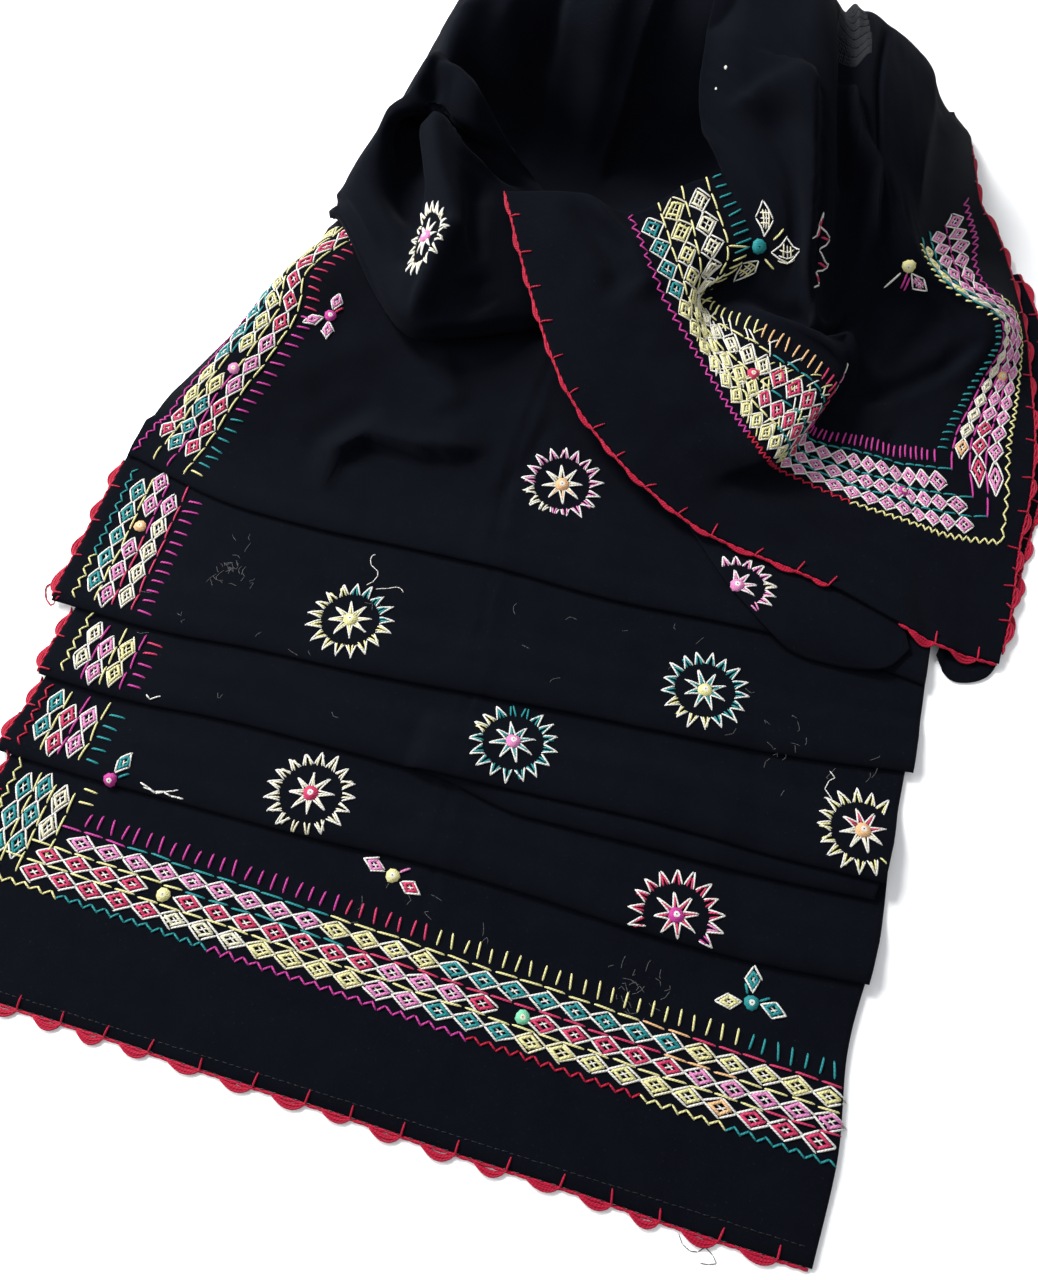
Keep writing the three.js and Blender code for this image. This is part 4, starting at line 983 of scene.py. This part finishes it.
def diamond(work, at, s, d, colour, long=DIAMOND_LONG, high=DIAMOND_HIGH):
    """White outline and white cross-bars, with the colour in the four panes."""
    tilt = chance.uniform(-0.4, 0.4)
    edge = "cream" if colour == "yellow" and chance.random() < 0.5 else "white"
    corners = [(s - long, d + tilt), (s, d - high), (s + long, d - tilt), (s, d + high)]
    for i in range(4):
        work.stitch(at(*corners[i]), at(*corners[(i + 1) % 4]), edge, OUTLINE_WIDE)
    for way in (-1, 1):
        for shift in (-0.3, 0.3):
            x, y = PANE_SHARE * long, PANE_SHARE * high * way
            dx, dy = shift * long, -shift * high * way
            a, b = at(s - x + dx, d - y + dy), at(s + x * 0.9 + dx, d + y * 0.9 + dy)
            work.stitch(a, b, colour, PANE_WIDE)
    for way in (-1, 1):
        x, y = BAR_SHARE * long, BAR_SHARE * high * way
        work.stitch(at(s - x, d - y), at(s + x, d + y), edge, BAR_WIDE)


def border(work, at, start, end, runs, mitre=0.0, keep=everywhere, phase=0.0, knots=()):
    """The border's rows from start to end. mitre lengthens the outer rows at the start, for a corner."""
    for s in np.arange(start + 2.5, end(0), TICK_PITCH):
        if keep(s, 2):
            lean = chance.normal(0, 0.5)
            long = chance.uniform(-0.8, 0.5)
            work.stitch(at(s + lean, TICK[0] - long), at(s, TICK[1]), pick(runs["ticks"], s), TICK_WIDE)
    for name, d in DASHES.items():
        for s in np.arange(start - d * mitre + phase, end(d) - 3, DASH_PITCH):
            if keep(s + 4, d):
                work.stitch(at(s, d), at(s + DASH_PITCH - 1.5, d), pick(runs[name], s), DASH_WIDE)
    for k, (name, d) in enumerate(DIAMONDS.items()):
        for s in np.arange(start - d * mitre + ROW_STARTS[k] + phase, end(d) - 3, DIAMOND_PITCH):
            near = min([math.hypot(s - knot[0], d - knot[1]) for knot in knots], default=99)
            if keep(s, d) and near > KNOT_CLEAR:
                diamond(work, at, s, d, pick(runs[name], s))
    peak = -PEAK
    places = np.arange(start - ZIGZAG * mitre, end(ZIGZAG), ZIGZAG_PITCH / 2)
    for s, t in zip(places[:-1], places[1:]):
        if keep(s, ZIGZAG):
            work.stitch(at(s, ZIGZAG + peak), at(t, ZIGZAG - peak), pick(runs["zigzag"], s), ZIGZAG_WIDE, 0.2)
        peak = -peak
    for s, d, colour in knots:
        work.knot(at(s, d), colour, 3.5, "cream")


def wheel(work, at, ring, star, knot, turn=0.0, keep=everywhere, across=1.0, along_it=1.0):
    """A wheel of pointed stitches round an eight-pointed star. ring and star are runs of colours by angle."""

    def spot(radius, angle):
        return at[0] + across * radius * math.cos(angle), at[1] + along_it * radius * math.sin(angle)

    def sew(a, b, colour, wide):
        if keep(*a) and keep(*b):
            work.stitch(a, b, colour, wide, 0.22)

    step = 2 * math.pi / WHEEL_POINTS
    for k in range(WHEEL_POINTS):
        angle = turn + k * step
        colour = pick(ring, (angle % (2 * math.pi)) / (2 * math.pi))
        tip = spot(RIM_OUT + chance.uniform(-1, 0.7), angle + step / 2 + chance.normal(0, 0.03))
        sew(spot(RIM_IN, angle + 0.03), tip, "white", 1.0)
        sew(tip, spot(RIM_IN, angle + step - 0.03), "white", 1.0)
        for side in (-0.22, 0.22):
            a, b = spot(MARK_IN, angle + step * (0.5 + side)), spot(MARK_OUT, angle + step * (0.5 + side / 3))
            sew(a, b, colour, 1.0)
    for k in range(STAR_POINTS):
        angle = turn + 0.2 + k * 2 * math.pi / STAR_POINTS
        tip = spot(STAR_OUT + chance.uniform(-0.8, 0.6), angle)
        for side in (-0.42, 0.42):
            sew(spot(STAR_IN, angle + side), tip, "white", 0.95)
        sew(spot(STAR_IN, angle), spot(STAR_OUT - 2, angle), pick(star, k / STAR_POINTS), 1.1)
    work.knot(at, knot, 3.9)


def sprig(work, at, angles, colours, ticks, tick_colour, knot, size=1.0, keep=everywhere):
    """Leaf-shaped diamonds and short stitches round a knot."""

    def spot(angle, s, d):
        x, y = math.cos(math.radians(angle)), math.sin(math.radians(angle))
        return at[0] + (s * x - d * y) * size, at[1] + (s * y + d * x) * size

    for angle, colour in zip(angles, colours):
        if keep(*spot(angle, LEAF_AT, 0)):
            diamond(work, lambda s, d, angle=angle: spot(angle, s, d), LEAF_AT, 0, colour, LEAF_LONG, LEAF_HIGH)
    for angle in ticks:
        a, b = [spot(angle, out, 0) for out in SPRIG_TICK]
        if keep(*a) and keep(*b):
            work.stitch(a, b, tick_colour, 1.2)
    work.knot(at, knot, 3.5)


def leaf(work, corners, colour):
    """A diamond given by its own corners, where the cloth turns away too steeply for a plain one."""
    corners = np.array(corners, float)
    middle = corners.mean(0)
    for k in range(4):
        work.stitch(corners[k], corners[(k + 1) % 4], "white", 0.95)
    for k in (0, 1):
        a, b = corners[k] * 0.55 + middle * 0.45, corners[(k + 2) % 4] * 0.55 + middle * 0.45
        work.stitch(a, b, "white", 0.75)
        shift = (corners[(k + 1) % 4] - middle) * 0.28
        work.stitch(a + shift, b + shift, colour, 1.0)
        work.stitch(a - shift, b - shift, colour, 1.0)


def between(low, high, right=220.5, margin=0.6):
    """Keeps what lies on one pleat: past its own nose, before the next one, and left of the fold."""
    return lambda x, y: nose_at(low, x) + margin < y < nose_at(high, x) - margin and x < right


# The hem's border runs from the corner to the lengthwise fold.
HEM_CORNER = (-154.5, 92.5)
HEM_SLOPE = -0.034
HEM_RUNS = runs_of(
    [(136, "magenta"), (177, "red"), (328, "yellow"), "teal"],
    [(22, "magenta"), (127, "teal"), (271, "yellow"), (303, "peach"), "red"],
    [(125, "pink"), (188, "yellow"), (300, "teal"), "yellow"],
    [(52, "yellow"), (131, "teal"), (285, "red"), (320, "peach"), "yellow"],
    [(157, "red"), (205, "pink"), (300, "red"), "pink"],
    [(335, "yellow"), "red"],
    [(55, "red"), (95, "cream"), (150, "yellow"), (180, "pink"), (229, "teal"), (312, "yellow"), (328, "peach"), "red"],
    [(3, "yellow"), (78, "teal"), (205, "magenta"), (287, "crimson"), (324, "yellow"), "teal"])


def hem_at(s, d):
    return HEM_CORNER[0] + s, HEM_CORNER[1] + HEM_SLOPE * s - d * 0.955


# The left border goes up across the pleats; its colours change where cloth is folded away.
LEFT_INNER = {  # each stretch slid a little sideways as it was folded
    "hem": ([55, 110], [-154.5, -155]), "first": ([110, 155], [-159, -159]),
    "third": ([150, 200], [-155.5, -156.5]), "fourth": ([190, 231, 290], [-167.5, -170, -171]),
}


def left_at(low):
    return lambda s, d: (float(along(*LEFT_INNER[low], s)) - d, s)


LEFT_PARTS = [  # stretch, next one, from, to, mitre, how far its rows are slid, its colours, knots
    ("hem", "first", 94.6, 118, 0.9, -19,
     runs_of("yellow", "yellow", "cream", "yellow", "teal", "yellow", "teal", "yellow"), []),
    ("first", "second", 108, 160, 0, -4,
     runs_of("teal", "yellow", "pink", "magenta", "red", "yellow", "teal", "crimson"), []),
    ("third", "fourth", 150, 202, 0, -6,
     runs_of([(177, "magenta"), "red"], "magenta", "yellow", "yellow", "pink", "magenta", "cream",
             "yellow"), []),
    ("fourth", "fifth", 190, 284, 0, -3,
     runs_of("magenta", "red", [(262, "cream"), "pink"], [(240, "red"), "magenta"], "pink",
             "yellow", "teal", [(225, "yellow"), "teal"]), [(248, 25.2, "peach")]),
]

end_work = Work(flat_end)
border(end_work, hem_at, 0, lambda d: 377, HEM_RUNS, mitre=1.0,
       keep=lambda s, d: hem_at(s, d)[0] < 219, knots=[(51, 25.2, "yellow"), (228.5, 25.2, "mint")])
for low, high, start, stop, mitre, phase, runs, knots in LEFT_PARTS:
    fits, at = between(low, high), left_at(low)
    border(end_work, at, start, lambda d, stop=stop: stop, runs, mitre,
           lambda s, d, fits=fits, at=at: fits(*at(s - 2, d)) and fits(*at(s + 3, d)), phase, knots)
for at, ring, star, knot, turn, keep in (
        ((-67, 226), [(0.28, "teal"), "yellow"], "yellow", "yellow", 0.1, everywhere),
        ((118.7, 238.5), [(0.55, "teal"), (0.8, "yellow"), "teal"], "teal", "yellow", 0.3, everywhere),
        ((33.6, 184), [(0.38, "teal"), (0.5, "yellow"), "teal"], "teal", "pink", 0.2, between("third", "fourth")),
        ((-53.5, 131.8), "cream", "cream", "red", 0.0, between("first", "second")),
        ((206, 187), "yellow", [(0.5, "red"), "cream"], "peach", 0.15, between("third", "fourth")),
        ((129.8, 123.4), [(0.75, "red"), (0.9, "magenta"), "pink"], "red", "magenta", 0.1,
         between("first", "second"))):
    wheel(end_work, at, ring, star, knot, turn, keep)
sprig(end_work, (-149.5, 110.8), [72], ["teal"], [35], "teal", "magenta", 0.9, between("first", "second", margin=-2))
sprig(end_work, (-2.8, 105.2), [165, -18], ["pink", "red"], [120, 75, 40], "pink", "yellow", 0.9,
      between("hem", "first"))
sprig(end_work, (171.5, 95.4), [193, 97, -3], ["yellow", "teal", "teal"], [120, 30], "teal", "teal", 0.9)
end_work.make("pleated_end_embroidery")

# The panel's border rises with the rolled edge; its inner side lies this far in along the cloth.
PANEL_INNER = ([0, 16, 59, 118, 147, 190], [46, 48, 57, 64, 55, 50])
panel_strip = by_arc(sheets["upper_panel"], 90)


def panel_at(s, d):
    return float(along(*PANEL_INNER, s)) - d, s


panel_work = Work(panel_strip)
border(panel_work, panel_at, 0, lambda d: 186, runs_of(
    [(14, "yellow"), (50, "teal"), (124, "magenta"), "red"], "yellow",
    [(60, "red"), (105, "pink"), "red"], [(70, "magenta"), "yellow"],
    [(62, "teal"), "yellow"], [(75, "yellow"), "teal"],
    [(50, "red"), (75, "yellow"), "teal"], "magenta"), keep=lambda s, d: s > 3, phase=4.0,
    knots=[(76, 22, "pink")])
sprig(panel_work, (71.8, 124.6), [95, -75, -140], ["pink", "pink", "pink"], [60], "red", "magenta", 0.85)
panel_work.make("panel_border_embroidery")

top_work = Work(end_and_panel)
wheel(top_work, (17, 336.5), [(0.5, "pink"), (0.7, "cream"), "pink"], [(0.6, "cream"), "peach"], "peach", 0.1)
top_work.make("panel_wheels_embroidery")

# The flap's border: along its hem to the corner, then up beside the selvedge.
FLAP_INNER = ([0, 100, 200, 300, 394, 450], [101, 101, 103, 103, 104, 104])
FLAP_CORNER = (394, 104)
FLAP_SIDE = ([60, 104, 231, 267, 315, 380], [394, 394, 396, 360, 354, 352])
FLAP_SIDE_SCALE = ([60, 231, 267, 315, 380], [1, 1, 1.3, 1.85, 2.0])


def flap_hem_at(s, d):
    u = FLAP_CORNER[0] - s
    return u, float(along(*FLAP_INNER, u)) - d


def flap_side_at(s, d):
    v = FLAP_CORNER[1] + s
    return float(along(*FLAP_SIDE, v)) + d * float(along(*FLAP_SIDE_SCALE, v)), v


flap_work = Work(sheets["flap"])
border(flap_work, flap_hem_at, 0, lambda d: 393, runs_of(
    [(150, "magenta"), (195, "red"), (250, "peach"), (340, "yellow"), "teal"],
    [(230, "teal"), "yellow"], [(150, "pink"), (230, "red"), "cream"],
    [(215, "teal"), "yellow"], [(150, "pink"), (225, "red"), "yellow"],
    [(200, "teal"), "yellow"], [(160, "pink"), (330, "yellow"), "teal"],
    [(85, "yellow"), (215, "crimson"), "magenta"]),
    mitre=1.0, knots=[(43, 24, "magenta"), (241, 20, "red")])
border(flap_work, flap_side_at, 0, lambda d: 209 + d, runs_of(
    [(127, "teal"), "yellow"], [(130, "magenta"), "teal"],
    [(14, "peach"), (150, "cream"), "yellow"], [(130, "magenta"), "teal"],
    [(30, "red"), "pink"], "magenta", "pink", [(150, "yellow"), "magenta"]),
    mitre=1.0, knots=[(72, 25, "peach")])
for corners, colour in (([(54, 118), (38, 113), (38, 136), (50, 135)], "cream"),
                        ([(70, 136), (69, 159), (93, 184), (83, 161)], "cream"),
                        ([(73, 125), (70, 107), (87, 115), (81, 128)], "yellow")):
    leaf(flap_work, corners, colour)
for a, b in (((62, 135), (62, 152)), ((73, 131), (81, 144)), ((52, 100), (45, 92))):
    flap_work.stitch(a, b, "yellow", 1.2)
flap_work.knot((60, 115), "teal", 4.2, "teal")
leaf(flap_work, [(299, 268), (297, 253), (320, 255), (322, 268)], "pink")
for a, b, colour in (((291, 266), (278, 250), "magenta"), ((294, 263), (283, 248), "magenta"),
                     ((278, 263), (253, 247), "white")):
    flap_work.stitch(a, b, colour, 1.2)
flap_work.knot((296.5, 273.5), "yellow", 3.8, "cream")
# Only a third of this wheel shows; a fold's edge covers the rest.
half_wheel = [(108, 206), (112, 232), (109, 216), (135, 258), (120, 217), (146, 252), (121, 201), (136, 216),
              (124, 192)]
for a, b in zip(half_wheel[:-1], half_wheel[1:]):
    flap_work.stitch(a, b, "white", 1.1)
for a, b in zip(half_wheel[1::2], [(110, 210), (118, 224), (124, 214), (124, 203)]):
    flap_work.stitch(np.array(a) * 0.85 + np.array(b) * 0.15, b, "red", 1.3)
# Where the fold gathers the border, the threads lie closer.
for _ in range(110):
    u, v = chance.uniform(66, 214), chance.uniform(66, 97)
    turn, long = chance.choice([-0.62, 0.62]) + chance.normal(0, 0.12), chance.uniform(6, 9)
    flap_work.stitch((u, v), (u + long * math.cos(turn), v + long * math.sin(turn)),
                     ["cream", "yellow", "white"][chance.integers(3)], 0.9)
# A loose thread over the fold, two crumbs of lint, and the open weave that shows on the crest; its yarns are given a
# lighter tone than the cloth as painted light where the thin crest is lit.
for a, b, colour in (((221, 162), (226, 150), "white"), ((226, 150), (229, 136), "pink"),
                     ((229, 136), (236, 120), "white")):
    flap_work.stitch(a, b, colour, 1.0)
flap_work.knot((21, 260), "white", 1.3)
flap_work.knot((13, 232), "white", 1.1)
OPEN_WEAVE = ([122, 130, 166, 190, 212], [420, 434, 452, 438, 396])  # its far edge
OPEN_FROM, OPEN_TO, OPEN_NEAR, OPEN_FAR = 122, 212, 388, 450
YARN_WIDE, YARN_LOOSE = 0.17, 0.2
for u in np.arange(OPEN_FROM, OPEN_TO, 1.8):
    for v in np.arange(OPEN_NEAR, float(along(*OPEN_WEAVE, u)), 7):
        flap_work.stitch((u, v), (u, v + 6.5), "weave", YARN_WIDE, YARN_LOOSE)
for v in np.arange(OPEN_NEAR, OPEN_FAR, 2.4):
    for u in np.arange(OPEN_FROM, OPEN_TO, 6.5):
        if v < along(*OPEN_WEAVE, u):
            flap_work.stitch((u, v), (u + 6, v), "weave", YARN_WIDE, YARN_LOOSE)
flap_work.make("flap_embroidery")

# Half a wheel on the fold below the flap's hem; the other half is on the fold's under side.
UNDER_LINE = [(96, 322), (109, 309), (131, 288), (154, 273), (173, 270)]
under_work = Work(FromAbove())
wheel(under_work, (122, 300), [(0.05, "cream"), "pink"], "pink", "pink", 0.1,
      keep=lambda x, y: beside(x, y, UNDER_LINE)[0] > 1.2, across=0.95, along_it=0.82)
under_work.make("wheel_on_the_fold")

hood_work = Work(sheets["hood"])
wheel(hood_work, (112, 48.5), "cream", "cream", "pink", 0.2, across=0.72)
hood_work.make("hood_embroidery")

# ---- the crocheted edging: a cord with a bulge of looped thread at each scallop, tied down by a straight stitch ----
SCALLOP = 23.0
PLY_WIDE, LOOP_WIDE, TIE_WIDE = 1.125, 1.15, 1.0
TAPER = 0.6  # how wide a strand's two ends are, as a share of its width
CORD_OUT, LOOPS_OUT = 0.9, 0.8  # how far past the edge the cord's middle and the loops' feet are
LOOK_OUT = 2.8  # what the edging lies on is looked up this far out or more, clear of its own cloth
DROOP = 0.3  # how far a loop sinks for how far it goes out
CLEAR = 0.75  # from the cord's middle to what it lies on
PLY_STEP, PLY_OUT, PLY_TURN = 1.6, 0.35, 1.7
LOOPS = (0.42, 0.62, 0.82, 1.0)  # how far out each loop of a bulge goes, as a share of its depth
BULGE_FROM = 0.36  # where a bulge begins, as a share of its scallop
TIE = 5.2  # how far a tying stitch reaches into the cloth


class Edging:
    """Strands of crimson thread along edges of the cloth."""

    def __init__(self):
        self.strands = []

    def follow(self, edge, inward, depth, first=0.0):
        """edge is the line of the cloth's edge, inward the direction into the cloth at each of its points."""
        arc = arcs(edge)
        inward = inward / np.linalg.norm(inward, axis=1, keepdims=True)

        def at(s, out, lift=0.0):
            s, out = np.clip(s, 0, arc[-1]), np.asarray(out)
            p, n = [np.stack([np.interp(s, arc, line[:, k]) for k in range(3)], -1) for line in (edge, inward)]
            moved = p - n * out[..., None]
            clear = p - n * np.maximum(out, LOOK_OUT)[..., None]
            beneath = look_up(laid.top, clear[..., 0], clear[..., 1])
            drop = p[..., 2] - DROOP * out
            moved[..., 2] = np.maximum(np.maximum(drop, beneath + CLEAR), CLEAR) + lift
            return moved

        s = np.arange(0, arc[-1], PLY_STEP)
        for way in (0, math.pi):  # the two plies of the cord
            turn = s / PLY_TURN + way
            self.strands.append((at(s, CORD_OUT + PLY_OUT * np.sin(turn), PLY_OUT * np.cos(turn)), PLY_WIDE))
        start = -first
        while start < arc[-1] - 4:
            length = SCALLOP * chance.uniform(0.9, 1.1)
            a, b = start + length * BULGE_FROM, min(start + length, arc[-1] - 0.5)
            if b - a > 6 and a > -4:
                a = max(a, 0.3)
                full = depth * chance.uniform(0.85, 1.15)
                t = np.linspace(0, 1, 11)
                swell = np.sin(math.pi * t**1.25) ** 0.75
                for k, share in enumerate(LOOPS):
                    lean = chance.normal(0, 0.12)
                    out = LOOPS_OUT + (full - LOOPS_OUT) * share * swell + lean
                    loop = at(a + (b - a) * t, out, 0.25 * (k % 2))
                    self.strands.append((loop, LOOP_WIDE))
                tie = np.linspace(0, 1, 5)
                lean = chance.normal(0, 0.8)
                spot = at(np.array([b, b]), np.array([1.2, -TIE * chance.uniform(0.8, 1.15)]))
                line = spot[0] * (1 - tie)[:, None] + spot[1] * tie[:, None]
                line[:, :2] += (edge[-1] - edge[0])[:2] / arc[-1] * lean * tie[:, None]
                line[:, 2] = np.maximum(line[:, 2], look_up(laid.top, line[:, 0], line[:, 1]) + 0.25)
                self.strands.append((line, TIE_WIDE))
            start += length

    def make(self, name, nodes):
        parts, count = [], 0
        for points, wide in self.strands:
            way = unit(np.gradient(points, axis=0))
            side = unit(np.cross([0.05, 0.02, 1.0], way))
            slim = np.ones(len(points))
            slim[[0, -1]] = TAPER
            verts, faces = tube(points, side, np.cross(way, side), slim * wide / 2)
            uv = np.stack(np.broadcast_arrays(arcs(points)[:, None], TURN[None] * wide / 2), -1).reshape(-1, 2) / 1000
            parts.append((verts, faces + count, uv[faces.ravel()]))
            count += len(verts)
        verts, faces, uvs = [np.concatenate(part) for part in zip(*parts)]
        piece = add_mesh(name, place(verts), faces, uvs, [THREAD_MATERIALS[COLOURS.index("crimson")]])
        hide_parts(*nodes)


def edge_of(sheet, row=None, column=None):
    """One edge of a sheet, with the direction into the cloth."""
    middle = (sheet.top + sheet.bottom) / 2
    if row is None:
        middle, row = middle.transpose(1, 0, 2), column
    line, inner = middle[row], middle[row + 3 if row >= 0 else row - 3]
    inward = inner - line
    inward[:, 2] *= 0.3
    return line, inward


def part_of(edge, shown):
    return edge[0][shown], edge[1][shown]


def add_edging(name, nodes, *stretches):
    """Each stretch is an edge, how deep its loops are, and how far before its start the first scallop begins."""
    edging = Edging()
    for edge, depth, first in stretches:
        edging.follow(*edge, depth, first)
    edging.make(name, nodes)


left_stretches = []
for node, low, high in (("hem_panel", "hem", "first"), ("pleat_one", "first", "second"),
                        ("pleat_three", "third", "fourth"), ("pleat_four", "fourth", "fifth")):
    line, inward = edge_of(sheets[node], column=0)
    shown = (line[:, 1] > nose_at(low, line[:, 0]) + 0.5) & (line[:, 1] < nose_at(high, line[:, 0]) + 1)
    left_stretches.append(((line[shown][::-1], inward[shown][::-1]), 4.4, 5))
add_edging("hem_and_left_edging",
           ["hem_edging", "left_edging_hem", "left_edging_one", "left_edging_three", "left_edging_four"],
           (edge_of(sheets["hem_panel"], row=0), 4.4, 6), *left_stretches)
flap_u, flap_v = sheets["flap"].u, sheets["flap"].v
flap_hem, flap_side = edge_of(sheets["flap"], row=0), edge_of(sheets["flap"], column=-1)
add_edging("flap_hem_edging_thread", ["flap_hem_edging"], (part_of(flap_hem, flap_u < 350), 2.6, 8))
add_edging("flap_side_edging_thread", ["flap_corner_edging"], (part_of(flap_hem, flap_u > 378), 3.8, 3),
           (part_of(flap_side, (flap_v > 5) & (flap_v < 425)), 4.2, 2))
under_side = edge_of(sheets["flap_under_side"], row=0)
add_edging("under_side_edging_thread", ["under_side_edging"],
           (part_of(under_side, slice(len(under_side[0]) // 3, None)), 4.2, 9))

# ---- small things on the cloth: the hem's stitching, thread tails, chalk and lint ----
def wander(work, points, colour, wide, step=3.0, shake=0.5):
    """A loose thread through the points."""
    points = np.array(points, float)
    length = np.hypot(*np.diff(points, axis=0).T).sum()
    t = np.linspace(0, len(points) - 1, max(int(length / step), 3))
    line = along(np.arange(len(points)), points, t) + chance.normal(0, shake, (len(t), 2))
    for a, b in zip(line[:-1], line[1:]):
        work.stitch(a, b, colour, wide, 0.0)


def chalk(work, at, size, count):
    """Faint scribbles left from marking out."""
    for _ in range(count):
        a = np.array(at) + chance.normal(0, 1, 2) * size
        turn, long = chance.uniform(0, math.pi), chance.uniform(2, 7)
        bend = chance.normal(0, 1.2, 2)
        b = a + np.array([math.cos(turn), math.sin(turn)]) * long
        wander(work, [a, (a + b) / 2 + bend, b], "chalk", 0.28, 1.5, 0.12)


small_work = Work(flat_end)
for at, size, count in (((-137, 235), (6, 7), 26), ((118, 86), (8, 7), 24), ((168, 212), (16, 12), 18),
                        ((10, 92), (30, 8), 8), ((-100, 205), (40, 25), 12), ((60, 240), (60, 14), 10)):
    chalk(small_work, at, size, count)
for points, colour, wide in (([(-66, 248), (-62, 256), (-70, 262), (-67, 268)], "white", 0.5),
                             ([(-60, 247), (-50, 252), (-46, 249)], "white", 0.45),
                             ([(190, 200), (186, 206), (190, 211), (187, 214)], "white", 0.5),
                             ([(-134, 113.5), (-126, 111.5), (-118, 112.5), (-112, 112)], "white", 0.9),
                             ([(-132, 111.8), (-121, 113.2), (-115, 114.5)], "white", 0.7),
                             ([(-150, 158), (-147, 156.6), (-144, 157.5)], "white", 0.8),
                             ([(-221, 207), (-228, 203), (-229, 197), (-223, 192), (-217, 195)], "crimson", 0.9),
                             ([(160, -4), (167, -10), (173, -7), (178, -11), (172, -13)], "chalk", 0.4)):
    wander(small_work, points, colour, wide)
HEM_IN, HEM_STITCH, HEM_PITCH = 5.4, 2.5, 3.4
for s in np.arange(-205, 212, HEM_PITCH):
    small_work.stitch((s, HEM_IN), (s + HEM_STITCH, HEM_IN), "black", 0.45, 0.1)
small_work.make("hem_stitching_and_lint")
